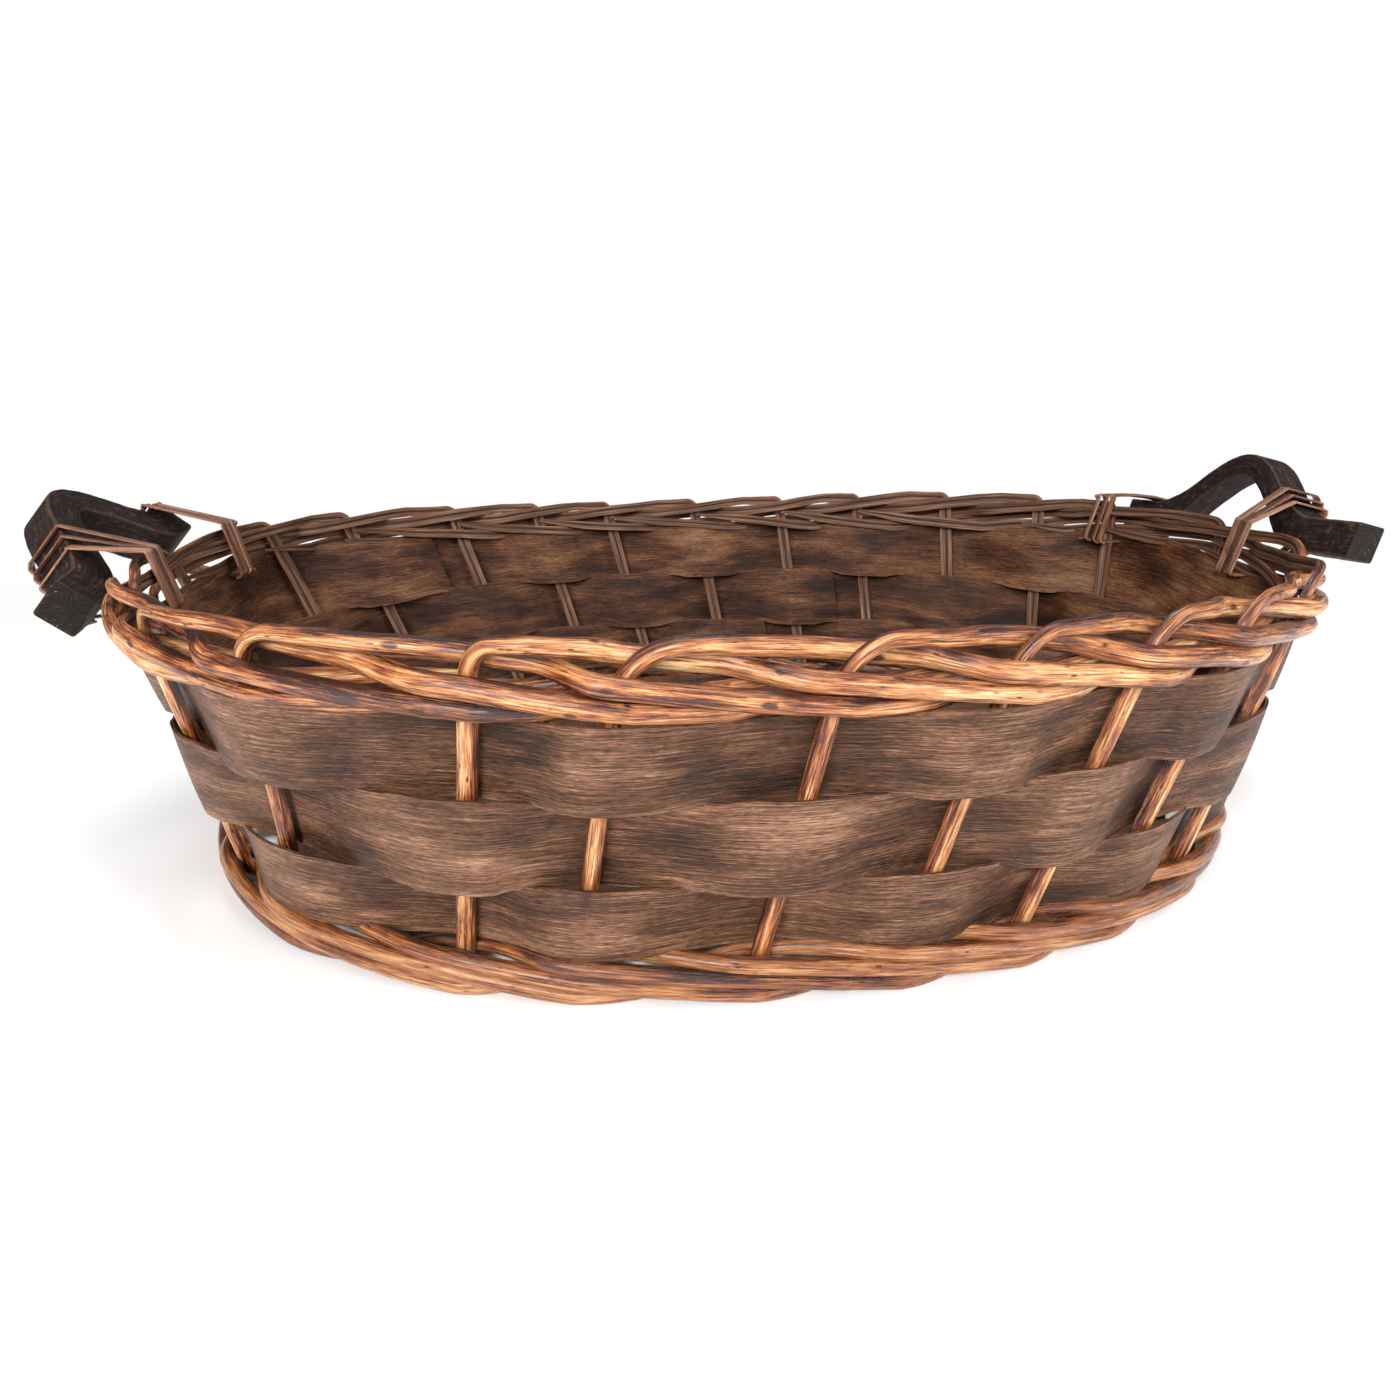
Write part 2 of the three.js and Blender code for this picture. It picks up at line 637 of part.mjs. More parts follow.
// The handles lean differently, so the whole is moved to stand centred over the origin.
const box = new THREE.Box3().setFromObject(basket);
const middle = box.getCenter(new THREE.Vector3());
console.log(`moved by ${(-middle.x).toFixed(2)}, ${(-middle.y).toFixed(2)}, ${(-box.min.z).toFixed(2)} mm`);
basket.position.set(-middle.x, -middle.y, -box.min.z);

const part = new THREE.Group();
part.add(basket);
export default part;
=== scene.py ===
# %% [markdown]
# # An oval basket of split willow and wood chip
# The basket stands on a pale floor, seen from close by and a little above, as in the photograph.
# Its wall is three wide bands of wood chip, woven between upright stakes of split willow. The
# stakes bend over at the top and roll into the rim, round rods make the foot, and a sawn wooden
# handle is tied to each end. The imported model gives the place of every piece, and each piece is
# made again here with the roundness, grain and wear of the real one.

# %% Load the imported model
import math

import bpy
import numpy as np
from mathutils import Matrix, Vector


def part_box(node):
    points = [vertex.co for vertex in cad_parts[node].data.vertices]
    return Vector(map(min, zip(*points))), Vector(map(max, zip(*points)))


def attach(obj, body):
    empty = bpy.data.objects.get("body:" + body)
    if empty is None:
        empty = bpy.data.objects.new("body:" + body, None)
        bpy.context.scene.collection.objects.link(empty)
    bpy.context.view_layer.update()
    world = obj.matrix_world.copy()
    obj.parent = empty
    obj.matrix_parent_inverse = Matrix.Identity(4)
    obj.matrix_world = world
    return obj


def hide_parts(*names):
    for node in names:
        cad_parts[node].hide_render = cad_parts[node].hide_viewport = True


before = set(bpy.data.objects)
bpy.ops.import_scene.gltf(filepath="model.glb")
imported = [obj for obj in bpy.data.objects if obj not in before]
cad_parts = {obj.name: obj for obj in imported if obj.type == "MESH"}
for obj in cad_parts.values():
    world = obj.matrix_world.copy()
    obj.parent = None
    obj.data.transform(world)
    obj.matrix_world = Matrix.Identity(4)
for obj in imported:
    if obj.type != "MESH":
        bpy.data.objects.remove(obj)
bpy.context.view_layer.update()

# %% [markdown]
# ## The oval wall
# Such a basket is woven round a mould, so everything on it follows one oval, which is wider at the
# rim than at the foot. A circle could be scaled to an ellipse, but the real sides run flatter, and
# a superellipse gives that: an ellipse with a power a little over 2. The outline is measured once
# as a table of lengths, because the stakes stand at even steps along the wall and not at even
# angles. A place is then a stake number, which may be a fraction, a height, and a distance out of
# the wall, all in millimetres until the mesh is made.

# %% Sizes of the wall
RIM_HALF_LENGTH, RIM_HALF_WIDTH = 205, 131
FOOT_HALF_LENGTH, FOOT_HALF_WIDTH = 185, 125
OVAL_FULLNESS = 2.24  # the superellipse's power
RIM_LEVEL = 100  # the height that the rim's oval belongs to
STAKE_COUNT = 24
STAKE_WIDTH, STAKE_THICKNESS = 6, 3.8
FIRST_STAKE = 0.544  # share of the way round where the count starts
STAKE_TWIST = -0.02  # share of the way round that a stake's foot stands back from its top
STAKE_SHIFTS = np.array([  # how far each stake stands from its even place, in spacings
    -0.2, -0.2, 0.2, 0, 0.2, 0.2, 0.1, -0.1, -0.1, -0.2, 0.1, 0.35,
    0.1, 0.1, 0.1, 0, 0, 0, -0.2, -0.3, -0.2, -0.4, -0.2, -0.1])
CLEARANCE, SPARE = 0.4, 0.2  # room between neighbours
MM = 0.001
FLOOR_SHIFT = -0.27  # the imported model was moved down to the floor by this

mat_low, mat_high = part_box("base_chip_long_3")
MIDDLE = np.array([(mat_low.x + mat_high.x) / 2 / MM, (mat_low.y + mat_high.y) / 2 / MM, FLOOR_SHIFT])
print("the oval's centre in the frame, mm", MIDDLE.round(3))

# %% The oval's table
OVAL_STEPS = 720


def oval_table(half_length, half_width):
    """x = a |cos|^(2/n), y = b |sin|^(2/n) with the signs kept, and each point's share of the way round."""
    angle = np.linspace(0, 2 * np.pi, OVAL_STEPS + 1)
    c, s = np.cos(angle), np.sin(angle)
    x = half_length * np.sign(c) * np.abs(c) ** (2 / OVAL_FULLNESS)
    y = half_width * np.sign(s) * np.abs(s) ** (2 / OVAL_FULLNESS)
    lengths = np.concatenate([[0], np.cumsum(np.hypot(np.diff(x), np.diff(y)))])
    return x, y, lengths / lengths[-1], lengths[-1]


def oval_reach(half_along, half_across, across):
    """How far an oval reaches along one axis at a place across it: a (1 - |y / b|^n)^(1/n)."""
    return half_along * (1 - np.abs(across / half_across) ** OVAL_FULLNESS) ** (1 / OVAL_FULLNESS)


rim_table = oval_table(RIM_HALF_LENGTH, RIM_HALF_WIDTH)
foot_table = oval_table(FOOT_HALF_LENGTH, FOOT_HALF_WIDTH)
SPACING = rim_table[3] / STAKE_COUNT
print("spacing of the stakes, mm", round(SPACING, 1))


# %% Places on the wall
def on_oval(table, share):
    """The oval's point at a share of the way round, between the table's points."""
    share = np.mod(share, 1)
    return np.interp(share, table[2], table[0]), np.interp(share, table[2], table[1])


def share_at(stake):
    """Share of the way round = first stake + (stake + its shift) / count, shifts blended between."""
    stake = np.asarray(stake, float)
    numbers = np.arange(-2, 3 * STAKE_COUNT + 3)
    shift = np.interp(stake, numbers, STAKE_SHIFTS[(numbers - 1) % STAKE_COUNT])
    return FIRST_STAKE + (stake + shift) / STAKE_COUNT


def wall_line(stake, height):
    """A straight line from the foot's oval to the rim's oval, followed up to a height."""
    stake, height = np.broadcast_arrays(np.asarray(stake, float), np.asarray(height, float))
    top_x, top_y = on_oval(rim_table, share_at(stake))
    foot_x, foot_y = on_oval(foot_table, share_at(stake) + STAKE_TWIST)
    rise = height / RIM_LEVEL
    return np.stack([foot_x + (top_x - foot_x) * rise, foot_y + (top_y - foot_y) * rise, height], -1)


def unit(v):
    """Each vector divided by its own length."""
    return v / np.linalg.norm(v, axis=-1, keepdims=True)


def out_of_wall(stake, height):
    """The level direction straight out of the wall: the wall's own direction turned a quarter."""
    step = 0.15
    along = wall_line(np.asarray(stake) + step, height) - wall_line(np.asarray(stake) - step, height)
    return unit(np.stack([along[..., 1], -along[..., 0], np.zeros(along.shape[:-1])], -1))


def wall_point(stake, height, out):
    """The wall's line, moved out of the wall by a distance."""
    stake, height, out = np.broadcast_arrays(*[np.asarray(v, float) for v in (stake, height, out)])
    return wall_line(stake, height) + out_of_wall(stake, height) * out[..., None]


def smooth(x, low, high):
    """0 below low, 1 above high, and 3t^2 - 2t^3 between."""
    t = np.clip((np.asarray(x, float) - low) / (high - low), 0, 1)
    return t * t * (3 - 2 * t)


def wander(x, seed, size=1.0):
    """A slow uneven wave, the sum of four sines with seeded lengths and starts, for work done by hand."""
    rng = np.random.default_rng(seed)
    x = np.asarray(x, float)
    waves = [np.sin(x * rng.uniform(0.5, 3.2) + rng.uniform(0, 6.3)) * rng.uniform(0.3, 1) for _ in range(4)]
    return size * np.sum(waves, axis=0) / 2


print("stake 2 at the rim, mm from the centre", wall_point(2, RIM_LEVEL, 0).round(1))

# %% [markdown]
# ## One way to skin every piece
# A stake, a band, a rod and a lashing are all a section carried along a path. A curve with a bevel
# could do that, but its section can't flatten, roll and carry marks from place to place. So the
# points go in as one array of rings, and the faces come from the grid's own numbering. Each piece
# also gets a UV map in metres, along and around, so that the grain runs along the wood wherever it
# bends. Each ring starts at the same corner, so a flat cap closes each end.


# %% Carry a section along a path
def running_length(points):
    """Length from the first point to each point of a line: the sum of the steps before it."""
    return np.concatenate([[0], np.cumsum(np.linalg.norm(np.diff(points, axis=0), axis=1))])


def carry(places, facing, section, width=1.0, depth=1.0, roll=0.0):
    """Ring = place + a * across + b * outward; across = along x facing, outward = across x along."""
    along = unit(np.gradient(places, axis=0))
    across = unit(np.cross(along, facing))
    outward = np.cross(across, along)
    roll = np.broadcast_to(np.asarray(roll, float), len(places))[:, None]
    across, outward = (across * np.cos(roll) + outward * np.sin(roll),
                       outward * np.cos(roll) - across * np.sin(roll))
    width = np.broadcast_to(np.asarray(width, float), len(places))[:, None, None]
    depth = np.broadcast_to(np.asarray(depth, float), len(places))[:, None, None]
    a, b = section[:, 0][None, :, None], section[:, 1][None, :, None]
    return places[:, None] + across[:, None] * a * width + outward[:, None] * b * depth


one_metre = running_length(np.array([[0, 0, 0], [0, 600, 0], [0, 600, 400]]))[-1] * MM
print("two steps of 600 and 400 mm are", one_metre, "m")

# %% Faces between the rings
GRAIN_SHIFT, CAP_SHIFT = (0.137, 0.021), 0.05


def side_faces(rings, seed, endless):
    """Faces from each ring to the next; UV = length along the middle and around, shifted by the seed."""
    count, sides = rings.shape[:2]
    i, j = np.meshgrid(np.arange(count if endless else count - 1), np.arange(sides), indexing="ij")
    after, beside = (i + 1) % count, (j + 1) % sides
    quads = np.stack([i * sides + j, i * sides + beside, after * sides + beside, after * sides + j], -1)
    closed = np.concatenate([rings, rings[:1]]) if endless else rings
    along = running_length(closed.mean(axis=1)) * MM
    around = running_length(np.concatenate([rings[count // 3], rings[count // 3][:1]])) * MM
    u = along[np.stack([i, i, i + 1, i + 1], -1)] + seed * GRAIN_SHIFT[0]
    v = around[np.stack([j, j + 1, j + 1, j], -1)] + seed * GRAIN_SHIFT[1]
    return quads.reshape(-1, 4), np.stack([u, v], -1).reshape(-1, 4, 2), j.reshape(-1), around[:-1]


def volume_inside(corners):
    """The sum of a . (b x c) over both triangles of each face, which is above 0 if faces point out."""
    return sum(np.einsum("ij,ij->i", corners[:, 0], np.cross(corners[:, k], corners[:, k + 1])).sum()
               for k in (1, 2))


# %% Skin the rings
def skin(name, rings, slots, materials, seed, marks, endless=False, sharp=50):
    """One mesh of the rings' points, faces turned outwards, and a flat cap on each end of an open path."""
    count, sides = rings.shape[:2]
    points = rings.reshape(-1, 3)
    quads, uv, columns, around = side_faces(rings, seed, endless)
    turned = volume_inside(points[quads]) < 0
    if turned:
        quads, uv = quads[:, ::-1], uv[:, ::-1]
    faces, uvs, face_slots = quads.tolist(), uv.reshape(-1, 2), np.asarray(slots)[columns]
    if not endless:
        first, last = list(range(sides)), list(range((count - 1) * sides, count * sides))
        faces += [first, last[::-1]] if turned else [first[::-1], last]
        flat = np.stack([around, np.roll(around, sides // 3)], -1) + seed * CAP_SHIFT
        uvs = np.concatenate([uvs, flat, flat])
        face_slots = np.concatenate([face_slots, [len(materials) - 1] * 2])
    mesh = bpy.data.meshes.new(name)
    mesh.from_pydata(((points + MIDDLE) * MM).tolist(), [], faces)
    mesh.polygons.foreach_set("material_index", face_slots.astype(np.int32))
    mesh.polygons.foreach_set("use_smooth", np.ones(len(faces), bool))
    mesh.uv_layers.new(name="grain").data.foreach_set("uv", uvs.astype(np.float32).ravel())
    mesh.set_sharp_from_angle(angle=math.radians(sharp))
    for key, values in marks.items():
        mesh.attributes.new(key, "FLOAT", "POINT").data.foreach_set(
            "value", np.broadcast_to(values, (count, sides)).astype(np.float32).ravel())
    for material in materials:
        mesh.materials.append(material)
    piece = bpy.data.objects.new(name, mesh)
    bpy.context.scene.collection.objects.link(piece)
    return piece


def stand_for(piece, node):
    """The piece takes the place of its CAD node, which is hidden, and rides on the one body."""
    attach(piece, "root")
    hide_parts(node)
    return piece


def edge_mark(rows):
    """1 at the two long edges of a flat strip, for its upper side and then its lower side."""
    edge = np.zeros(rows)
    edge[[0, -1]] = 1
    return np.tile(edge, 2)[None, :]


# %% [markdown]
# ## Finishes
# Each finish starts from what the real surface is. Pictures of wood could be wrapped round the
# pieces, but noise that is stretched along the grain never repeats, and its scale is a real size
# in millimetres. So every pattern is noise, read in the piece's own UV map, which runs along the
# wood. The colours are sRGB hex values, which one function turns to linear light.


# %% Colours and nodes
def srgb(code):
    """Linear = ((c + 0.055) / 1.055) ^ 2.4, or c / 12.92 for very dark values."""
    c = np.array([int(code[k:k + 2], 16) for k in (1, 3, 5)]) / 255
    linear = np.where(c <= 0.04045, c / 12.92, ((c + 0.055) / 1.055) ** 2.4)
    return (*[float(x) for x in linear], 1.0)


def feed(tree, node, inputs):
    """Gives each input of a node its value, or links it where the value is another node's output."""
    for key, value in inputs.items():
        if isinstance(value, bpy.types.NodeSocket):
            tree.links.new(value, node.inputs[key])
        else:
            node.inputs[key].default_value = value


def add(tree, kind, inputs, output=0, stops=(), **settings):
    """Adds one node with its settings, inputs and a colour ramp's stops, and gives back one output."""
    node = tree.nodes.new("ShaderNode" + kind)
    for key, value in settings.items():
        setattr(node, key, value)
    feed(tree, node, inputs)
    if stops:
        elements = node.color_ramp.elements
        while len(elements) < len(stops):
            elements.new(0.5)
        for element, (position, code) in zip(elements, stops):
            element.position, element.color = position, srgb(code)
    return node.outputs[output]


def new_finish(name):
    """A new material with its tree and its Principled BSDF."""
    material = bpy.data.materials.new(name)
    material.use_nodes = True
    return material, material.node_tree, material.node_tree.nodes["Principled BSDF"]


print("half of the sRGB range in linear light", round(srgb("#808080")[0], 3))


# %% Grain and stains
def along_grain(tree, length_mm, width_mm):
    """UV coordinates divided by a real length and width."""
    uv = add(tree, "UVMap", {}, uv_map="grain")
    return add(tree, "Mapping", {"Vector": uv, "Scale": (1 / (length_mm * MM), 1 / (width_mm * MM), 1)})


def grain(tree, length_mm, width_mm, detail, rough):
    """Noise of scale 1 along the grain, so that its spots have this length and width."""
    return add(tree, "TexNoise", {"Vector": along_grain(tree, length_mm, width_mm), "Scale": 1.0,
                                  "Detail": detail, "Roughness": rough})


def shares(tree, *parts):
    """The sum of values, each times its own share."""
    total = 0.0
    for value, share in parts:
        total = add(tree, "Math", {0: value, 1: share, 2: total}, operation="MULTIPLY_ADD")
    return total


def stained(tree, colour, *stains):
    """Each stain's colour mixed over the last one, by its amount times its strength."""
    for amount, strength, code in stains:
        factor = shares(tree, (amount, strength))
        colour = add(tree, "Mix", {0: factor, 6: colour, 7: srgb(code)}, 2, data_type="RGBA")
    return colour


SMOOTH = {"interpolation_type": "SMOOTHSTEP"}
print("a grain 0.4 mm wide repeats per metre", round(1 / (0.4 * MM)))

# %% [markdown]
# ### Willow bark
# Steamed willow keeps its thin bark, a warm red brown with a waxed shine. Fibres and streaks run
# along the rod, short dark pores and cracks break it, and where a bud has been it swells round a
# dark scar. The crest of each rod is painted paler, a painted highlight, while its sides keep the
# dark stain. No single noise is fine, streaky and blotchy at once, so three of different sizes are
# added up to one tone, and a ramp turns that tone to colour. What belongs to one place, such as the
# painted highlight on the crest, the scars and each rod's own tone, is a mark in the mesh.

# %% Bark of split and round willow
BUD_SCAR, BARK_RELIEF = "#2a140c", 0.55 * MM


def willow_bark(name, stops, pore_code):
    """Tone = fibres 0.4 and streaks 1.5 mm wide, blotches 30 mm long, a painted highlight on the crest and
    the rod's own tone.
    """
    material, tree, bsdf = new_finish(name)
    crest_highlight, own_tone, bud = [add(tree, "Attribute", {}, "Fac", attribute_name=key)
                            for key in ("crest_highlight", "tone", "scar")]
    fibres, streaks = grain(tree, 10, 0.4, 5, 0.75), grain(tree, 24, 1.5, 5, 0.65)
    blotches = grain(tree, 30, 8, 3, 0.55)
    # The crest mark lightens the bark along its crest: a painted highlight.
    tone = shares(tree, (fibres, 0.5), (streaks, 0.42), (blotches, 0.3), (crest_highlight, 0.09), (own_tone, 0.05))
    cells = add(tree, "TexVoronoi", {"Vector": along_grain(tree, 5, 1.1), "Scale": 1.0})
    pore_core, pore_patch, crack, scar = [
        add(tree, "MapRange", {"Value": value, "From Min": low, "From Max": high}, **SMOOTH)
        for value, low, high in (
            (cells, 0.3, 0.1), (grain(tree, 7, 3, 2, 0.5), 0.5, 0.64),
            (grain(tree, 34, 0.6, 3, 0.6), 0.4, 0.35), (shares(tree, (bud, 1), (fibres, 0.9)), 0.85, 1.15))]
    pore = add(tree, "Math", {0: pore_core, 1: pore_patch}, operation="MULTIPLY")
    dark = add(tree, "Math", {0: pore, 1: shares(tree, (crack, 0.75))}, operation="MAXIMUM")
    colour = add(tree, "ValToRGB", {"Fac": tone}, stops=stops)
    height = shares(tree, (fibres, 0.6), (streaks, 0.9), (crack, -0.45), (pore, -0.4), (scar, 0.3))
    feed(tree, bsdf, {
        "Base Color": stained(tree, colour, (dark, 1, pore_code), (scar, 0.9, BUD_SCAR)),
        "Roughness": add(tree, "MapRange", {"Value": blotches, "From Min": 0.35, "From Max": 0.65,
                                            "To Min": 0.17, "To Max": 0.42}),
        "Coat Weight": 0.28, "Coat Roughness": 0.18,
        "Normal": add(tree, "Bump", {"Height": height, "Distance": BARK_RELIEF})})
    return material


bark = willow_bark("willow_bark_waxed", [
    (0.565, "#2a0f07"), (0.607, "#612a14"), (0.65, "#9a562d"), (0.7, "#c5844e"), (0.79, "#f2c994")],
    "#190904")
foot_bark = willow_bark("willow_rod_bark", [
    (0.572, "#280f07"), (0.618, "#4f2210"), (0.664, "#7a4120"), (0.722, "#9f6133"), (0.815, "#cf9a66")],
    "#160804")
print("barks", bark.name, foot_bark.name)

# %% Flat side and cut end of split willow
SPLIT_RELIEF = 0.3 * MM


def split_side(name, stops, pith_code):
    """The pale flat side of a split rod: fibres 0.7 mm wide and the dark pith line of the mesh's mark."""
    material, tree, bsdf = new_finish(name)
    fibres = grain(tree, 30, 0.7, 5, 0.7)
    pith = add(tree, "Attribute", {}, "Fac", attribute_name="pith")
    colour = add(tree, "ValToRGB", {"Fac": fibres}, stops=stops)
    feed(tree, bsdf, {"Base Color": stained(tree, colour, (pith, 0.8, pith_code)), "Roughness": 0.62,
                      "Normal": add(tree, "Bump", {"Height": fibres, "Distance": SPLIT_RELIEF})})
    return material


def cut_end(name, stops):
    """A knife cut across the wood: short pale fibres with dark pores 0.7 mm wide."""
    material, tree, bsdf = new_finish(name)
    pores = grain(tree, 0.7, 0.7, 3, 0.6)
    feed(tree, bsdf, {"Base Color": add(tree, "ValToRGB", {"Fac": pores}, stops=stops), "Roughness": 0.75,
                      "Normal": add(tree, "Bump", {"Height": pores, "Distance": SPLIT_RELIEF})})
    return material


flat_side = split_side("willow_split_face", [
    (0.32, "#2b1811"), (0.44, "#573726"), (0.55, "#805b43"), (0.7, "#ad8768")], "#231610")
willow_cut = cut_end("willow_cut_end", [(0.4, "#6b4426"), (0.62, "#c79a66")])
print("finishes so far", [m.name for m in bpy.data.materials])

# %% [markdown]
# ### Wood chip
# The bands are chip: thin wood split off a plank and stained dark. Fine lines and short open pores
# run along the band, the stain clouds over a few centimetres, and where the band bulges out between
# the stakes it is paler, partly wear and partly a painted sheen. The side that faces into the
# basket is darker and redder, partly a darker stain and partly painted shade of the basket's inside.
# A wave texture would draw the lines too evenly, so they are stretched noise too, and the paler
# bulges, wear and painted sheen, are a mark in the mesh.

# %% Wood chip
CHIP_RELIEF = 0.4 * MM


def wood_chip(name, stops, pore_code, wear_and_sheen=0.05, cloudy=0.34):
    """Tone = lines 0.42 mm wide, pores 2.6 mm and clouds 42 mm long, wear with a painted sheen, edges and
    the band's own tone.
    """
    material, tree, bsdf = new_finish(name)
    worn_and_sheen, edge, own_tone = [add(tree, "Attribute", {}, "Fac", attribute_name=key)
                            for key in ("wear_and_sheen", "edge", "tone")]
    lines, pores = grain(tree, 18, 0.42, 6, 0.8), grain(tree, 2.6, 0.32, 2, 0.6)
    clouds = grain(tree, 42, 13, 4, 0.62)
    # The wear mark lightens the bulges: partly wear, partly a painted sheen.
    tone = shares(tree, (lines, 0.66), (pores, 0.2), (clouds, cloudy), (worn_and_sheen, wear_and_sheen), (edge, 0.04),
                  (own_tone, 0.03))
    open_pore = add(tree, "MapRange", {"Value": pores, "From Min": 0.42, "From Max": 0.3}, **SMOOTH)
    colour = add(tree, "ValToRGB", {"Fac": tone}, stops=stops)
    height = shares(tree, (lines, 1.0), (pores, 0.7), (clouds, 0.6))
    feed(tree, bsdf, {
        "Base Color": stained(tree, colour, (open_pore, 0.6, pore_code)), "Roughness": 0.46,
        "Specular IOR Level": 0.32,
        "Normal": add(tree, "Bump", {"Height": height, "Distance": CHIP_RELIEF})})
    return material


chip = wood_chip("wood_chip_dyed", [
    (0.49, "#130905"), (0.56, "#38200f"), (0.625, "#5f3d28"), (0.69, "#8d634a"), (0.79, "#c7a184")],
    "#190c06")
# The inner side is darker and redder: partly a darker stain, partly painted shade of the basket's inside.
chip_inside = wood_chip("wood_chip_inside", [
    (0.57, "#0f0503"), (0.65, "#2c160c"), (0.72, "#4c2c19"), (0.79, "#734a2f"), (0.9, "#9c7350")],
    "#120704", wear_and_sheen=0.015, cloudy=0.54)
base_chip = wood_chip("wood_chip_base", [
    (0.46, "#1d110b"), (0.58, "#4a3021"), (0.7, "#765540"), (0.78, "#96745a")], "#1f120c")
print("chips", chip.name, chip_inside.name, base_chip.name)

# %% [markdown]
# ### Sawn handle wood and split lashings
# The handles were sawn and stained almost black, and left rough. The lashings are thin splits of
# willow, redder than the stakes, with their long fibres showing. The saw's marks could be cut into
# the mesh, but at this size a bump of under a millimetre shows them as well.

# %% Handle and lashing
WORN_EDGE, SAW_RELIEF = "#6a5447", 0.9 * MM


def sawn_wood(name, stops, speck_code, size_mm, specks):
    """Tone = grain 0.8 mm wide and coarse spots, with pale specks where the stain missed and worn edges."""
    material, tree, bsdf = new_finish(name)
    edge = add(tree, "Attribute", {}, "Fac", attribute_name="edge")
    coarse = grain(tree, size_mm, size_mm, 4, 0.7)
    tone = shares(tree, (grain(tree, 9, 0.8, 6, 0.75), 0.65), (coarse, 0.45))
    speck = add(tree, "MapRange", {"Value": coarse, "From Min": specks, "From Max": specks + 0.1}, **SMOOTH)
    colour = add(tree, "ValToRGB", {"Fac": tone}, stops=stops)
    feed(tree, bsdf, {
        "Base Color": stained(tree, colour, (speck, 1, speck_code), (edge, 0.3, WORN_EDGE)),
        "Roughness": 0.62, "Specular IOR Level": 0.25,
        "Normal": add(tree, "Bump", {"Height": tone, "Distance": SAW_RELIEF})})
    return material


handle_wood = sawn_wood("sawn_wood_stained", [
    (0.42, "#050201"), (0.52, "#150b08"), (0.6, "#2c1b15"), (0.7, "#5a4034")], "#6b5142", 2.6, 0.64)
handle_end = sawn_wood("sawn_wood_end_grain", [
    (0.40, "#050303"), (0.54, "#150e0c"), (0.68, "#37291f")], "#a3958a", 1.0, 0.62)
lashing_bark = willow_bark("willow_lashing", [
    (0.50, "#2b150d"), (0.58, "#5a3322"), (0.65, "#7d4f38"), (0.72, "#9e7054"), (0.82, "#c9a085")],
    "#22100a")
print("finishes", len(bpy.data.materials))

# %% [markdown]
# ## Stakes and the rolled rim
# A stake is half a willow rod. Its foot bends in under the base, it stands up between the bands,
# and above them it bends sharply to the right. From there it lies across the next three stakes on
# the outside, a step lower at each, dives under the rim and ends on the inside. Because each
# stake does the same, one path function makes the whole rim, and small seeded changes in width,
# height and roll keep the work looking handmade. Along the back the rim is lower and its strands
# are thinner, and near the two ends of the back its underside sits higher. The rim could be a ring
# of twisted tubes laid on the wall, but then no strand would come out of its own stake.

# %% Sizes of the stakes and the rim
RIM_TOP = 105.8  # a strand's middle where it bends over
STRAND_HEIGHT, STRAND_DROP = 5.4, 5.8  # its height, and its drop at each stake that it passes
CROSSING_DROP, INSIDE_RISE = 1.6, 6  # its last drop as it dives, and its rise at each stake inside
STRAND_TIP = 5  # where it ends, in stakes past its own
BACK_PINCH, BACK_MIDDLE, BACK_HALF = 0.27, 17.7, 5.2  # share of height lost, place and reach in stakes
CORNER_RISE, CORNER_STAKES, CORNER_HALF = 6, (11.6, 22.4), 3.1
BASE_LEVEL, BASE_TAIL, BASE_BEND = 5, 28, 4  # a stake's end under the base: height, length and bend
# Where a strand goes behind, sinks, comes outside, crosses and rises, in spacings past its stake.
BEHIND_START, SINK_START, BEHIND_END = 0.35, 0.4, 0.9
BEHIND_STOP, OUTSIDE_START = 1.4, 1.9
CROSSING_START, RISE_START, CROSSING_END = 3.1, 3.6, 3.9
strand_out = STAKE_THICKNESS + CLEARANCE + SPARE
outside_low = RIM_TOP - STRAND_DROP * (CROSSING_START - SINK_START)
inside_level = outside_low - CROSSING_DROP
rim_underside = inside_level - STRAND_HEIGHT / 2
print("the rim's strands lie from", round(rim_underside, 2), "to", RIM_TOP + STRAND_HEIGHT / 2, "mm")


# %% The rim along the back
def hump(stake, middle, half):
    """(1 + cos(pi * away / half)) / 2 round a stake number, and 0 beyond the half width."""
    away = np.abs(np.mod(stake - middle + STAKE_COUNT / 2, STAKE_COUNT) - STAKE_COUNT / 2)
    return 0.5 * (1 + np.cos(np.pi * np.minimum(away / half, 1)))


def underside_rise(stake):
    """The rim is thin near the two ends of the back: its underside is higher there."""
    return CORNER_RISE * sum(hump(stake, corner, CORNER_HALF) for corner in CORNER_STAKES)


def rim_share(stake):
    """Share of the rim's full height: less along the back, and less where the underside rises."""
    return (1 - BACK_PINCH * hump(stake, BACK_MIDDLE, BACK_HALF)
            - underside_rise(stake) / (RIM_TOP - rim_underside))


def in_the_rim(stake, height):
    """A height in the rim, scaled by the share above the underside of that place."""
    return rim_underside + underside_rise(stake) + (height - rim_underside) * rim_share(stake)


def at_back(stake):
    """1 where y is over 50 mm, along the back, and 0 where it is under -30 mm, along the front."""
    return smooth(wall_line(stake, RIM_LEVEL)[..., 1], -30, 50)


print("the rim's top at the middle of the back, mm", round(float(in_the_rim(BACK_MIDDLE, RIM_TOP)), 1))


# %% Where a strand runs
def strand_offset(v):
    """Distance out of the wall, v spacings past the stake: behind the next, then outside, then inside."""
    behind = smooth(v, BEHIND_START, BEHIND_END)
    outward = smooth(v, BEHIND_STOP, OUTSIDE_START)
    inward = smooth(v, CROSSING_START, CROSSING_END)
    return strand_out * (2 * outward - behind - 2 * inward)


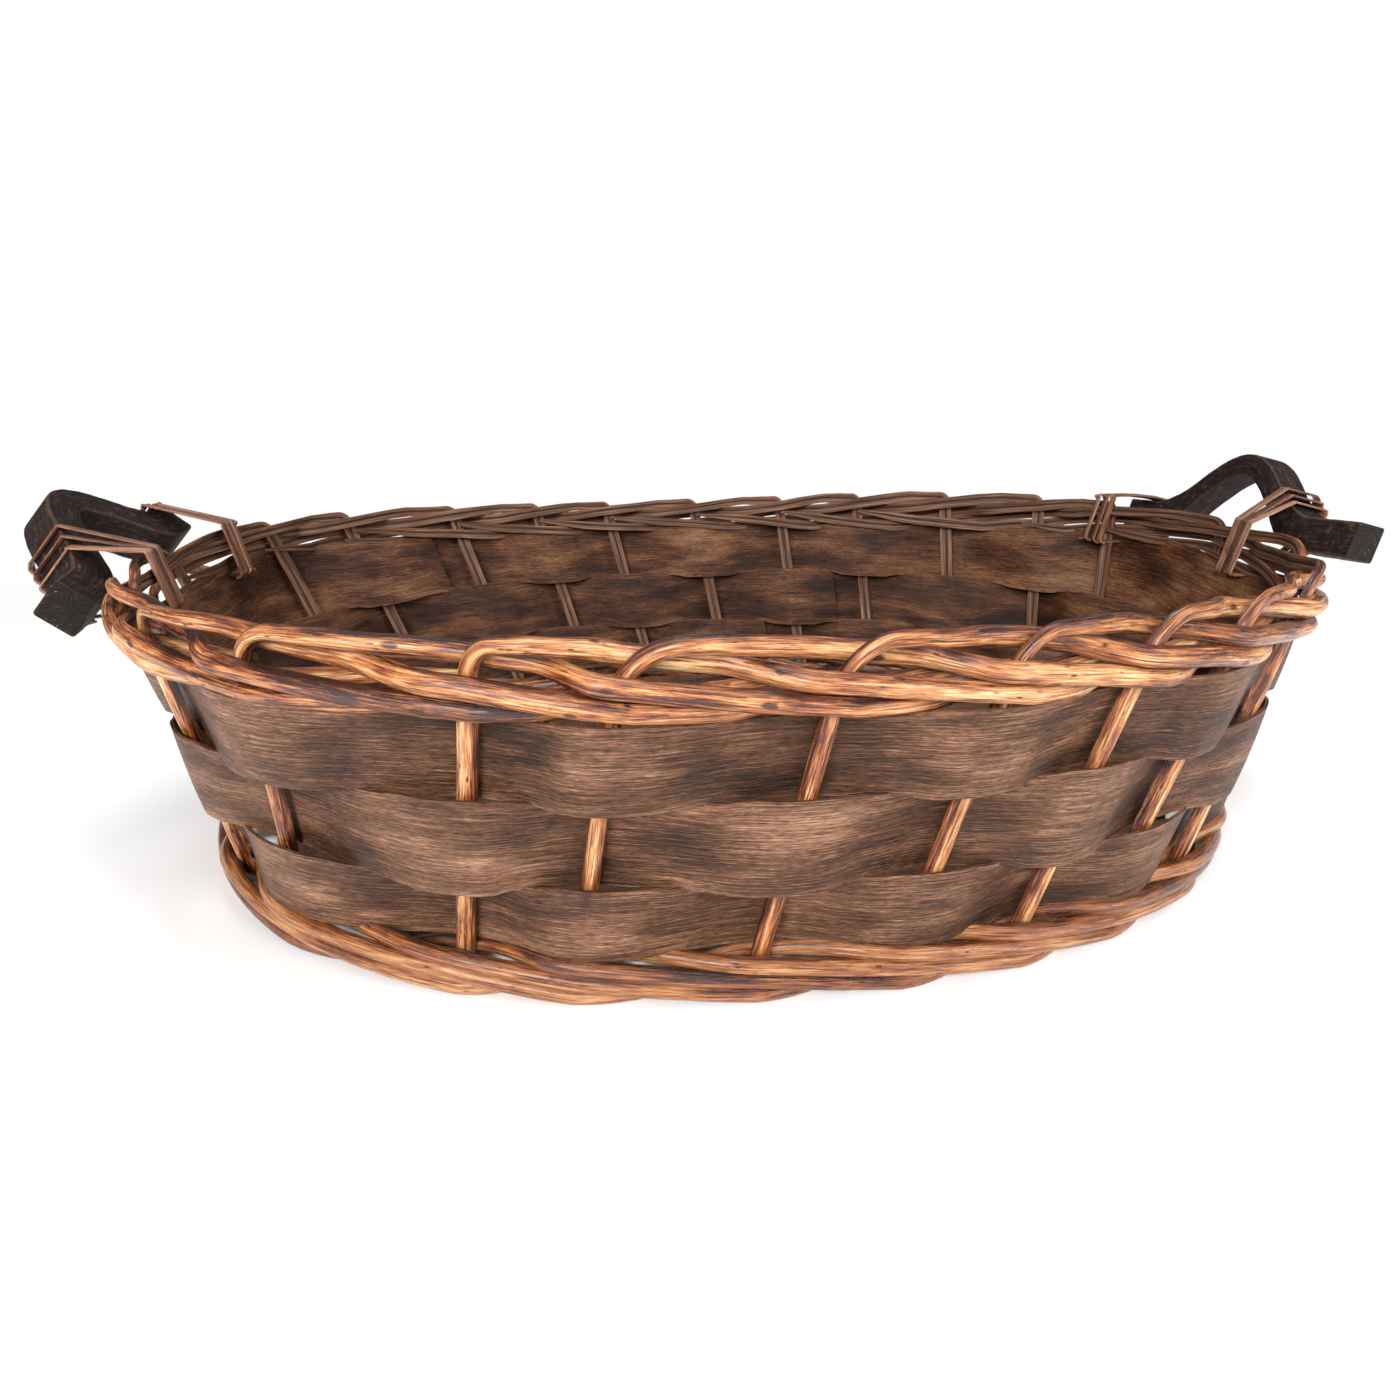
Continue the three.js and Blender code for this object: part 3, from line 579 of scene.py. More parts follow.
def strand_height(v, dip):
    """Height, v spacings past the stake: level, straight down outside, and up again inside."""
    falling = RIM_TOP - STRAND_DROP * (v - SINK_START)
    crossing = outside_low + (inside_level - outside_low) * smooth(v, CROSSING_START, RISE_START)
    inside = inside_level + INSIDE_RISE * (v - RISE_START)
    limits = [v < SINK_START, v < CROSSING_START, v < RISE_START]
    return np.select(limits, [RIM_TOP, falling, crossing], inside) - dip * (1 - smooth(v, 0.1, 0.9))


print("a strand's heights at each stake it passes, mm", strand_height(np.arange(6.0), 0).round(1))

# %% The section of a split rod
SIDE_BARK, SIDE_FLAT, ARC_POINTS = 0, 1, 13


def half_rod(width, thickness):
    """Half of an oval for the bark, and a flat side with a shallow groove where the pith was."""
    angle = np.linspace(0, np.pi, ARC_POINTS)
    bark_side = np.stack([np.cos(angle) * width / 2, np.sin(angle) ** 0.85 * thickness - thickness / 2], -1)
    a = np.array([-0.3, -0.12, 0, 0.12, 0.3]) * width
    b = np.array([0, 0.05, 0.75, 0.05, 0]) - thickness / 2
    return np.concatenate([bark_side, np.stack([a, b], -1)]), angle


half_section, half_angle = half_rod(STAKE_WIDTH, STAKE_THICKNESS)
half_slots = [SIDE_BARK] * (ARC_POINTS - 1) + [SIDE_FLAT] * (len(half_section) - ARC_POINTS + 1)
flat_zeros = np.zeros(len(half_section) - ARC_POINTS)
pith_mark = np.concatenate([np.zeros(ARC_POINTS), [0, 0.35, 1, 0.35, 0]])
# The crest mark paints a highlight along the middle of the bark side.
crest_highlight_mark = np.concatenate([np.sin(half_angle) ** 1.5, flat_zeros])
print("points in a section", len(half_section))


# %% Bud scars
BUDS_APART, BUD_SHIFT, BUD_SIZES = 48, 15, (0.5, 1.0)
BUD_LONG, BUD_ROUND, BUD_SWELL, BUD_SWELL_LONG = 2.8, 0.36, 0.1, 5


def bud_scars(places, angle, rng, apart=BUDS_APART):
    """Bell curves exp(-d^2) round seeded places, for the dark scars and for the swelling under each."""
    run = running_length(places)
    scars, swelling = np.zeros((len(run), len(angle))), np.zeros(len(run))
    for even_place in np.arange(rng.uniform(5, apart), run[-1], apart):
        spot, side = even_place + rng.uniform(-BUD_SHIFT, BUD_SHIFT), rng.uniform(0.15, 0.85) * np.pi
        size = rng.uniform(*BUD_SIZES)
        bell = np.exp(-((run - spot) / (BUD_LONG * size)) ** 2)
        scars += bell[:, None] * np.exp(-((angle[None, :] - side) / (BUD_ROUND * size)) ** 2)
        swelling += np.exp(-((run - spot) / BUD_SWELL_LONG) ** 2) * BUD_SWELL * size
    return scars, swelling


# %% The stake's path
LEAN_RISE, LEAN_RUN = 13, 11  # size of the bend at the top
BACK_LEAN, BACK_DIP = 0.25, 1.6  # along the back it is this share as large, and this much lower
SHORT_TIP, SHORT_TIPS = 4.15, (7, 8, 9, 17, 18, 19)  # strands that end early, where the rim is thin
TAIL_POINTS, TURN_POINTS, UPRIGHT_POINTS, OVER_POINTS, STRAND_POINTS = 8, 9, 40, 16, 170


def stake_path(number, lean, tip):
    """Tail, quarter bend, upright, a leaning bend to the right, and strand, one after the other."""
    down = np.array([0, 0, -1.0])
    tail = np.linspace(-BASE_BEND - BASE_TAIL, -BASE_BEND, TAIL_POINTS)[:-1]
    turn = np.linspace(0, np.pi / 2, TURN_POINTS)
    bend_rise, bend_run = LEAN_RISE * lean, LEAN_RUN * lean / SPACING
    dip = BACK_DIP * at_back(number)
    top = in_the_rim(number, RIM_TOP - dip)
    upright = np.linspace(BASE_LEVEL + BASE_BEND, top - bend_rise, UPRIGHT_POINTS)[1:-1]
    over = np.linspace(0, np.pi / 2, OVER_POINTS)
    strand = np.linspace(bend_run, tip, STRAND_POINTS)[1:]
    strand_level = in_the_rim(number + strand, strand_height(strand, dip))
    leaning = number + bend_run * (1 - np.cos(over))
    foot_out, rim_out = out_of_wall(number, 0.0), out_of_wall(number, RIM_LEVEL)
    places = [
        wall_point(number, BASE_LEVEL, tail),
        wall_point(number, BASE_LEVEL + BASE_BEND * (1 - np.cos(turn)),
                   -BASE_BEND * (1 - np.sin(turn))),
        wall_point(number, upright, 0),
        wall_point(leaning, in_the_rim(leaning, RIM_TOP - dip) - bend_rise * (1 - np.sin(over)), 0),
        wall_point(number + strand, strand_level, strand_offset(strand))]
    facing = [
        np.tile(down, (len(tail), 1)),
        down * np.cos(turn)[:, None] + foot_out * np.sin(turn)[:, None],
        foot_out + (rim_out - foot_out) * np.linspace(0, 1, len(upright))[:, None],
        np.tile(rim_out, (len(over), 1)),
        out_of_wall(number + strand, RIM_LEVEL)]
    before = sum(map(len, places[:3]))
    v = np.concatenate([np.linspace(-2, 0, before), np.linspace(0, strand[0], len(over)), strand])
    return np.concatenate(places), np.concatenate(facing), v


print("places along a stake", len(stake_path(1, 1, STRAND_TIP)[2]))

# %% Make the stakes
# Ranges for the bend's size, and for the width in the rim, at the bend and between the bands.
LEANS, THICKS, BENTS, STEMS = (0.6, 1.15), (1.0, 1.16), (0.55, 0.8), (0.82, 0.98)
BACK_BENT, NECK, TIP_RUN, TIP_WIDTHS = 0.2, 0.96, 0.5, (0.8, 0.25)
# Each rod's own tone, which varies less between the bands, and a painted shadow of the left handle on the
# rim round the left end.
TONES, STEM_TONE, STEM_SPREAD = (-0.8, 0.8), -0.3, 0.4
HANDLE_SHADOW_TONE, HANDLE_SHADOW_STAKES = -1.2, (23, 24, 1)
# Slow waves along a strand: how fast, how far up and out, in thickness, and in roll.
WAVE, WAVE_UP, WAVE_OUT, WAVE_THICK, ROLL, WAVE_ROLL = 1.6, 0.5, 0.35, 0.06, 0.1, 0.14


def make_stake(number):
    """The half rod on its path: thin where it bends over, thick in the rim, pointed at its tip."""
    rng = np.random.default_rng(number)
    back = at_back(number)
    lean = (1 + (BACK_LEAN - 1) * back) * rng.uniform(*LEANS)
    tip = SHORT_TIP if number in SHORT_TIPS else STRAND_TIP
    places, facing, v = stake_path(number, lean, tip)
    in_rim = smooth(v, 0.1, 0.7)
    outward = out_of_wall(number + np.maximum(v, 0), RIM_LEVEL)
    places[:, 2] += in_rim * wander(v * WAVE, 40 + number, WAVE_UP)
    places += outward * (in_rim * wander(v * WAVE, 300 + number, WAVE_OUT))[:, None]
    thick = rng.uniform(*THICKS) * STRAND_HEIGHT / STAKE_WIDTH
    bent = rng.uniform(*BENTS) + BACK_BENT * back
    stem = rng.uniform(*STEMS)
    width = np.interp(v, [-2, -0.12, 0.12, 0.9, 1.6, 2.6, tip - TIP_RUN, tip],
                      [stem, stem, bent, NECK, thick, thick, *TIP_WIDTHS])
    width = width * rim_share(number + np.maximum(v, 0)) ** smooth(v, 0, 0.5)
    depth = width * (1 + WAVE_THICK * wander(v * 3, 80 + number))
    scars, swelling = bud_scars(places, half_angle, rng)
    swelling = swelling * (v > 0.15)
    roll = in_rim * (ROLL + wander(v * 1.3, 120 + number, WAVE_ROLL))
    rings = carry(places, facing, half_section, width * (1 + swelling), depth * (1 + swelling), roll)
    scar_mark = np.concatenate([scars * in_rim[:, None], np.zeros((len(v), len(flat_zeros)))], axis=1)
    tone = rng.uniform(*TONES) * (STEM_SPREAD + (1 - STEM_SPREAD) * in_rim)
    # A painted shadow of the left handle darkens the rim strands of stakes 23, 24 and 1.
    tone = tone + STEM_TONE * (1 - in_rim) + HANDLE_SHADOW_TONE * (number in HANDLE_SHADOW_STAKES) * in_rim
    piece = skin(f"willow_stake_{number:02d}", rings, half_slots, [bark, flat_side, willow_cut], seed=number,
                 marks={"pith": pith_mark[None, :], "crest_highlight": crest_highlight_mark[None, :], "scar": scar_mark,
                        "tone": tone[:, None]})
    return stand_for(piece, f"stake_{number:02d}")


stakes = [make_stake(number) for number in range(1, STAKE_COUNT + 1)]
print("stakes", len(stakes), "faces each", len(stakes[0].data.polygons))

# %% [markdown]
# ## Bands
# A band is a flat strip that passes in front of one stake and behind the next, so its distance
# out of the wall is a cosine with one wave for each two stakes. Its lower edge swings a little
# further than its upper one, which gives the dark lens-shaped gaps between the rows. The strip's
# two ends overlap at one stake, and the free end lies on the inside and curls a little. A flat
# plane could be bent by modifiers, but a formula keeps each band clear of the stakes it passes.

# %% Sizes of the bands and of what they fit
BAND_THICKNESS, BAND_SWELL, BAND_GAP = 1, 1.4, 0.6
# How far edges lap at the joints, and reach under the rim, under its back and behind the foot.
BAND_LAP, BAND_LEAST_LAP, BAND_TUCK, BACK_TUCK, FOOT_TUCK = 0.9, 0.65, 1.1, 1.6, 1.8
# On the inner side rows 2 and 3 are darker than row 1: painted shade deeper in the basket.
OUTSIDE_TONES, INSIDE_TONES_WITH_SHADE = [-0.4, -0.1, -0.1], [1.0, -0.4, -0.3]
BAND_JOINTS = [63.2, 36.8]  # heights
BAND_OVERLAP, BAND_STEP_IN, BAND_CURL = 1.1, 0.35, 2  # the free end: length and step in stakes, curl
BAND_ENDS = [20.3, 15.4, 16.4]  # its place, in stakes
BAND_NOTCH, BAND_NOTCH_SPREAD = 3.4, 12  # depth and reach of the press under a lashing
# The foot, the lashings and the handles, which the bands have to fit. A lashing's place is its
# distance from its handle's middle, and a handle's lean is in degrees.
FOOT_ROD_RADIUS, FOOT_ROD_COUNT, FOOT_ROD_STEP = 2.2, 4, 5
FOOT_INNER_LEVEL, FOOT_CROSSING_RISE = 10.1, 1.6
LASHING_PITCH, LASHING_TURNS = 3, 3
LASHINGS = {"left_front": -21, "left_back": 30.5, "right_front": -26.5, "right_back": 43}
HANDLES = {
    "left": dict(side=-1, width=16, height=13.2, level=100.6, tilt=0.149, lean=46.2, skew=0.035,
                 middle=4, front=39.5, back=38, arch_half=31, arch_rise=25, arch_height=10.5),
    "right": dict(side=1, width=12.3, height=12.9, level=102.7, tilt=-0.067, lean=13.6, skew=-0.143,
                  middle=16, front=57, back=54.5, arch_half=38, arch_rise=24.5, arch_height=8.5)}
band_reach = (STAKE_THICKNESS + BAND_THICKNESS) / 2 + CLEARANCE + SPARE
foot_top = FOOT_ROD_RADIUS * 2 + FOOT_ROD_STEP * (FOOT_ROD_COUNT - 2) + FOOT_CROSSING_RISE
band_tops = [rim_underside - CLEARANCE] + [joint - BAND_GAP / 2 for joint in BAND_JOINTS]
band_bottoms = [joint + BAND_GAP / 2 for joint in BAND_JOINTS] + [foot_top + CLEARANCE]
print("heights of the bands, mm", [round(t - b, 1) for t, b in zip(band_tops, band_bottoms)])


# %% Where a band's edges run
JOINT_WAVES = (0.3, 0.2)


def notch(stake):
    """How far the top band is pressed down under the lashings at each place."""
    line = wall_line(stake, RIM_LEVEL)
    depth = np.zeros(len(line))
    for name, along in LASHINGS.items():
        handle = HANDLES[name.split("_")[0]]
        away = np.abs(line[:, 1] - handle["middle"] - along) - LASHING_TURNS * LASHING_PITCH / 2
        near = 1 - smooth(away, BAND_NOTCH_SPREAD / 3, BAND_NOTCH_SPREAD)
        depth = np.maximum(depth, near * (np.sign(line[:, 0]) == handle["side"]))
    return depth * BAND_NOTCH


def joint_wave(stake, joint):
    """One uneven wave for both edges that meet at a joint, the same after each whole round."""
    turn = np.mod(stake, STAKE_COUNT) / STAKE_COUNT * 2 * np.pi
    return JOINT_WAVES[0] * np.sin(turn * 5 + joint) + JOINT_WAVES[1] * np.sin(turn * 8 + 3 * joint)


print("deepest press under a lashing, mm", notch(np.arange(0, STAKE_COUNT, 0.1)).max().round(2))

# %% Make the bands
BAND_ROWS, BAND_PLACES, BAND_CUP, BAND_RIPPLE = 9, 400, 0.5, 0.16


def make_band(index):
    """Loop of points up the outer side and down the inner side, for each place along the band."""
    stake = np.linspace(BAND_ENDS[index], BAND_ENDS[index] + STAKE_COUNT + BAND_OVERLAP, BAND_PLACES)
    phase = np.cos(np.pi * (stake + index))
    doubled = 1 - smooth(stake - BAND_ENDS[index], BAND_OVERLAP, BAND_OVERLAP + BAND_STEP_IN)
    curl = 1 - smooth(stake - BAND_ENDS[index], 0, BAND_OVERLAP / 2)
    inward = doubled * (BAND_THICKNESS + CLEARANCE) + curl * BAND_CURL
    lap = BAND_LEAST_LAP + BAND_LAP * smooth(np.abs(phase), 0.25, 0.7)
    low = band_bottoms[index] + joint_wave(stake, index) - (lap if index < 2 else FOOT_TUCK)
    rise = underside_rise(stake)
    under_rim = BAND_TUCK + BACK_TUCK * at_back(stake) + rise - notch(stake) * (1 - rise / CORNER_RISE)
    high = band_tops[index] + joint_wave(stake, index - 1) + (lap if index > 0 else under_rim)
    share = np.linspace(0, 1, BAND_ROWS)
    height = low[:, None] + (high - low)[:, None] * share
    cup = BAND_CUP * (1 - (2 * share - 1) ** 2)
    swing = band_reach + BAND_SWELL * (1 - share) + cup
    ripple = wander(stake * 8, 220 + index, BAND_RIPPLE)[:, None]
    out = phase[:, None] * swing - inward[:, None] + ripple
    half = BAND_THICKNESS / 2
    outer = wall_point(stake[:, None], height, out + half)
    inner = wall_point(stake[:, None], height, out - half)[:, ::-1]
    rings = np.concatenate([outer, inner], axis=1)
    # Paler on each bulge, on whichever side bulges out: partly wear, partly a painted sheen.
    bulge = smooth(np.abs(phase), 0.1, 0.9)[:, None] * np.sin(np.pi * share) ** 0.7
    wear_and_sheen = np.concatenate([bulge * (phase[:, None] > 0), bulge[:, ::-1] * (phase[:, None] < 0)], axis=1)
    tone = np.repeat([OUTSIDE_TONES[index], INSIDE_TONES_WITH_SHADE[index]], BAND_ROWS)
    piece = skin(f"chip_band_row_{index + 1}", rings, [0] * BAND_ROWS + [1] * BAND_ROWS,
                 [chip, chip_inside, chip], seed=60 + index,
                 marks={"wear_and_sheen": wear_and_sheen, "edge": edge_mark(BAND_ROWS), "tone": tone[None, :]})
    return stand_for(piece, f"chip_band_{index + 1}")


bands = [make_band(index) for index in range(3)]
print("bands", len(bands), "faces each", len(bands[0].data.polygons))

# %% [markdown]
# ## Foot
# Four thin round rods are woven round the foot. Each passes in front of three stakes, sinking a
# step at each, and behind the fourth, and the four are one stake apart. Four stacked rings would be
# simpler, but no rod would then pass behind a stake. So one rod's path is a function of how many
# stakes it has passed, and the others start at the next stakes.

# %% Where a foot rod runs
def foot_place(v):
    """Distance out and height, v stakes after coming out: falling, then diving inside, then rising."""
    turn = np.mod(v, FOOT_ROD_COUNT)
    slot = np.floor(turn)
    part = turn - slot
    out = FOOT_ROD_RADIUS + STAKE_THICKNESS / 2 + CLEARANCE + SPARE
    lowest = FOOT_ROD_RADIUS
    highest = lowest + FOOT_ROD_STEP * (FOOT_ROD_COUNT - 2)
    falling = highest - FOOT_ROD_STEP * turn
    diving = lowest + (FOOT_INNER_LEVEL - lowest) * smooth(part, 0.35, 0.9)
    over_next = FOOT_CROSSING_RISE * np.sin(np.pi * part)
    rising = FOOT_INNER_LEVEL + (highest - FOOT_INNER_LEVEL) * part + over_next
    height = np.select([slot < 2, slot == 2], [falling, diving], rising)
    crossing = np.cos(np.pi * part)
    place = np.select([slot < 2, slot == 2], [np.ones_like(part), crossing], -crossing)
    return place * out, height


print("a rod's heights at each stake it passes, mm", foot_place(np.arange(4.0))[1].round(1))

# %% Make the foot rods
ROD_SWELL, ROD_LIFT, ROD_SIDES = 0.28, 0.75, 14
ROD_PLACES, ROD_WRAP, ROD_BUDS = 12, 3, 40
ROD_WAVE, ROD_WAVES, ROD_BUD_SWELL = 0.05, 7, 0.6


def make_foot_rod(index):
    """A round section along the rod's endless path; a few places past each end give the ends smooth
    directions, so that no seam shows.
    """
    stake = np.arange(0, STAKE_COUNT, 1 / ROD_PLACES)
    out, height = foot_place(stake + index)
    angle = np.arange(ROD_SIDES) / ROD_SIDES * 2 * np.pi
    section = np.stack([np.sin(angle), np.cos(angle)], -1) * (FOOT_ROD_RADIUS + ROD_SWELL)
    places = wall_point(stake, height + ROD_LIFT, out)
    closed = np.concatenate([places[-ROD_WRAP:], places, places[:ROD_WRAP]])
    facing = out_of_wall(np.concatenate([stake[-ROD_WRAP:], stake, stake[:ROD_WRAP]]), 0)
    rng = np.random.default_rng(400 + index)
    scars, swelling = bud_scars(closed, angle, rng, ROD_BUDS)
    turn = np.arange(len(closed)) / len(stake) * 2 * np.pi
    size = 1 + ROD_WAVE * np.sin(turn * ROD_WAVES + index) + ROD_BUD_SWELL * swelling
    rings = carry(closed, facing, section, size, size)[ROD_WRAP:-ROD_WRAP]
    # The crest mark paints a highlight on the rod's outward side.
    piece = skin(f"willow_foot_rod_{index + 1}", rings, [0] * ROD_SIDES, [foot_bark, foot_bark],
                 endless=True, seed=80 + index,
                 marks={"crest_highlight": 0.5 + 0.5 * np.cos(angle)[None, :], "scar": scars[ROD_WRAP:-ROD_WRAP],
                        "tone": rng.uniform(-1, 1)})
    return stand_for(piece, f"foot_rod_{index + 1}")


foot_rods = [make_foot_rod(index) for index in range(FOOT_ROD_COUNT)]
print("foot rods", len(foot_rods))

# %% [markdown]
# ## Base
# Such baskets have a plain mat of the same chip, woven over one and under one, which lies on the
# stakes' bent ends. One plane with a woven picture would look the same from above. Here each chip
# steps up and down by itself, so that it is a real strip with its own ends.

# %% Sizes of the base
MAT_MARGIN, MAT_SIDE_ROOM, MAT_GAP, MAT_CLEARANCE = 9.5, 17.5, 4, 0.3
lift = (BAND_THICKNESS + MAT_CLEARANCE) / 2
mat_level = BASE_LEVEL + STAKE_THICKNESS / 2 + MAT_CLEARANCE + BAND_THICKNESS / 2 + lift
LONG_CHIPS, CROSS_CHIPS = 5, 8
print("level of the mat's middle, mm", round(mat_level, 2))


# %% Make the base
MAT_COLUMNS, MAT_PLACES, MAT_ENDS = 9, 120, (0.35, 0.7, 1.0)


def chip_row(count, half_size):
    """Count, half size of the mat, width and pitch; the chips share what the side rooms leave."""
    width = (2 * (half_size - MAT_SIDE_ROOM) - (count - 1) * MAT_GAP) / count
    return count, half_size, width, width + MAT_GAP


def make_base_chip(index, lengthwise):
    """Flat over each crossing chip, a smooth step in each gap, and ends cut along the oval."""
    long_row = chip_row(LONG_CHIPS, FOOT_HALF_WIDTH - MAT_MARGIN)
    cross_row = chip_row(CROSS_CHIPS, FOOT_HALF_LENGTH - MAT_MARGIN)
    own, other = (long_row, cross_row) if lengthwise else (cross_row, long_row)
    (count, half_across, width, pitch), (crossings, half_along, step_width, step_pitch) = own, other
    across = (index - (count - 1) / 2) * pitch + np.linspace(-width / 2, width / 2, MAT_COLUMNS)
    reach = oval_reach(half_along, half_across, across)
    core = np.linspace(-reach.min(), reach.min(), MAT_PLACES)
    out = np.array(MAT_ENDS)[:, None] * (reach - reach.min())[None, :]
    along = np.concatenate([core[0] - out[::-1], np.repeat(core[:, None], MAT_COLUMNS, 1), core[-1] + out])
    middles = (np.arange(crossings) - (crossings - 1) / 2) * step_pitch
    signs = np.where((index + np.arange(crossings) + (0 if lengthwise else 1)) % 2 == 0, 1.0, -1.0)
    edges = (middles[:, None] + np.array([-0.5, 0.5]) * step_width).ravel()
    inside = np.abs(edges) < reach.min() - BAND_THICKNESS
    wave = np.interp(core, edges[inside], np.repeat(signs, 2)[inside]) * lift
    wave = np.concatenate([wave[:1].repeat(len(MAT_ENDS)), wave, wave[-1:].repeat(len(MAT_ENDS))])
    top = np.stack(np.broadcast_arrays(along, across[None, :], (mat_level + wave)[:, None]), -1)
    half = np.array([0, 0, BAND_THICKNESS / 2])
    rings = np.concatenate([top + half, (top - half)[:, ::-1]], axis=1)
    if not lengthwise:
        rings = rings[..., [1, 0, 2]]
    kind = "long" if lengthwise else "cross"
    piece = skin(f"chip_mat_{kind}_{index + 1}", rings, [0] * MAT_COLUMNS * 2, [base_chip, base_chip],
                 seed=(100 if lengthwise else 110) + index,
                 marks={"wear_and_sheen": 0.5, "edge": edge_mark(MAT_COLUMNS), "tone": 0.0}, sharp=35)
    return stand_for(piece, f"base_chip_{kind}_{index + 1}")


mat = [make_base_chip(index, True) for index in range(LONG_CHIPS)]
mat += [make_base_chip(index, False) for index in range(CROSS_CHIPS)]
print("base chips", len(mat))

# %% [markdown]
# ## Handles
# Each handle is sawn from one board: two straight feet with an arch for the fingers between them.
# It leans outward over the rim. It could be a box that is cut and bevelled, but then the grain's UV
# would have to be laid by hand. So the section is a square with worn corners, carried along the
# arch's line in the board's own plane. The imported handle's box says how far out it stands.


# %% A handle's line
def handle_axes(h):
    """Rise is the direction of the arch in the board's plane, and face is square to the board."""
    lean = math.radians(h["lean"])
    return (np.array([h["side"] * math.sin(lean), 0, math.cos(lean)]),
            np.array([-h["side"] * math.cos(lean), 0, math.sin(lean)]))


def arch(h, y):
    """Rise of the arch = rise * (1 + cos(pi * share)) / 2, with share 0 at its middle and 1 at its end."""
    share = np.minimum(np.abs(y - h["middle"]) / h["arch_half"], 1)
    return h["arch_rise"] * 0.5 * (1 + np.cos(np.pi * share))


def board_height(h, y):
    """The board's height in its own plane, which is less in the arch than in the feet."""
    return h["height"] + (h["arch_height"] - h["height"]) * smooth(arch(h, y), 0, h["arch_rise"] / 2)


def handle_line(h, y):
    """The board's centre at y: the arch on a straight line that is tilted and skewed."""
    back = y - h["middle"]
    base = np.stack([h["side"] * h["skew"] * back, y, h["level"] + h["tilt"] * back], -1)
    return base + handle_axes(h)[0] * arch(h, y)[:, None]


def worn_square(size, worn_and_sheen, per_corner=4):
    """A square whose corners are arcs of radius worn."""
    angle = np.linspace(0, np.pi / 2, per_corner)
    arc = np.stack([np.cos(angle), np.sin(angle)], -1) * worn_and_sheen + size / 2 - worn_and_sheen
    turns = [np.array([[c, s], [-s, c]]) for c, s in ((1, 0), (0, 1), (-1, 0), (0, -1))]
    return np.concatenate([arc @ turn for turn in turns])


print("top of the arches, mm", [round(float(handle_line(h, np.array([h["middle"]]))[0, 2]), 1)
                                for h in HANDLES.values()])

# %% Make the handles
HANDLE_PLACES, HANDLE_WORN, HANDLE_ROUGH = 150, 0.08, 0.008


def make_handle(name):
    """The worn square, scaled to the board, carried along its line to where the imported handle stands."""
    h = HANDLES[name]
    y = np.linspace(h["middle"] - h["front"], h["middle"] + h["back"], HANDLE_PLACES)
    section = worn_square(1, HANDLE_WORN)
    roughness = 1 + HANDLE_ROUGH * wander(y * 0.9, 7)
    rings = carry(handle_line(h, y), handle_axes(h)[1], section, board_height(h, y) * roughness,
                  h["width"] * roughness)
    low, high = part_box(f"handle_{name}")
    edge_x = (low.x if h["side"] < 0 else high.x) / MM - MIDDLE[0]
    own_x = rings[..., 0].min() if h["side"] < 0 else rings[..., 0].max()
    h["out"] = h["side"] * (edge_x - own_x)
    rings[..., 0] += edge_x - own_x
    corner = np.tile([0, 1, 1, 0], 4)[None, :]
    piece = skin(f"sawn_handle_{name}", rings, [0] * len(section), [handle_wood, handle_end],
                 seed=130 + h["side"], marks={"edge": corner}, sharp=60)
    return stand_for(piece, f"handle_{name}")


handles = [make_handle(name) for name in HANDLES]
print("handles", len(handles), "out from the middle, mm", [round(h["out"], 1) for h in HANDLES.values()])

# %% [markdown]
# ## Lashings
# Thin splits of willow are wound round each handle's foot and the rim, and each turn is pulled
# tight. A plain helix would cut through the wood or stand off it. In each direction, a tight turn
# touches the corner that reaches furthest, so the path is found by trying every corner of the
# handle's and the rim's sections.

# %% Sizes of the lashings and the rim's sides
LASHING_WIDTH, LASHING_THICKNESS, LASHING_WORN = 3.5, 0.9, 0.25
LASHING_OFF, LASHING_OVER, LASHING_PLACES = 0.8, 0.3, 96
LASHING_SLANT, LASHING_START, LASHING_SWAY, LASHING_ROLL = 0.7, 1.3, 0.35, 0.12
LASHED_RISE = 0.8
rim_half = strand_out + STAKE_THICKNESS / 2
rim_high = RIM_TOP + STRAND_HEIGHT / 2 + CLEARANCE
rim_shoulder = float(strand_height((BEHIND_STOP + OUTSIDE_START) / 2, 0)) + STRAND_HEIGHT / 2 + CLEARANCE
lashed_underside = rim_underside + CORNER_RISE * LASHED_RISE


def rim_sides(y, height):
    """Distance out of the rim's inner and outer side at y, with the wall's slant there."""
    rise = height / RIM_LEVEL
    length = FOOT_HALF_LENGTH + (RIM_HALF_LENGTH - FOOT_HALF_LENGTH) * rise
    width = FOOT_HALF_WIDTH + (RIM_HALF_WIDTH - FOOT_HALF_WIDTH) * rise
    before, here, after = (oval_reach(length, width, q) for q in (y - 1, y, y + 1))
    slant = np.hypot(1, (after - before) / 2)
    out_half = STAKE_THICKNESS / 2 if height > rim_shoulder else rim_half
    return here - rim_half * slant, here + out_half * slant


print("the rim's two sides at y = 0, mm", [round(float(x), 1) for x in rim_sides(0, rim_shoulder)])


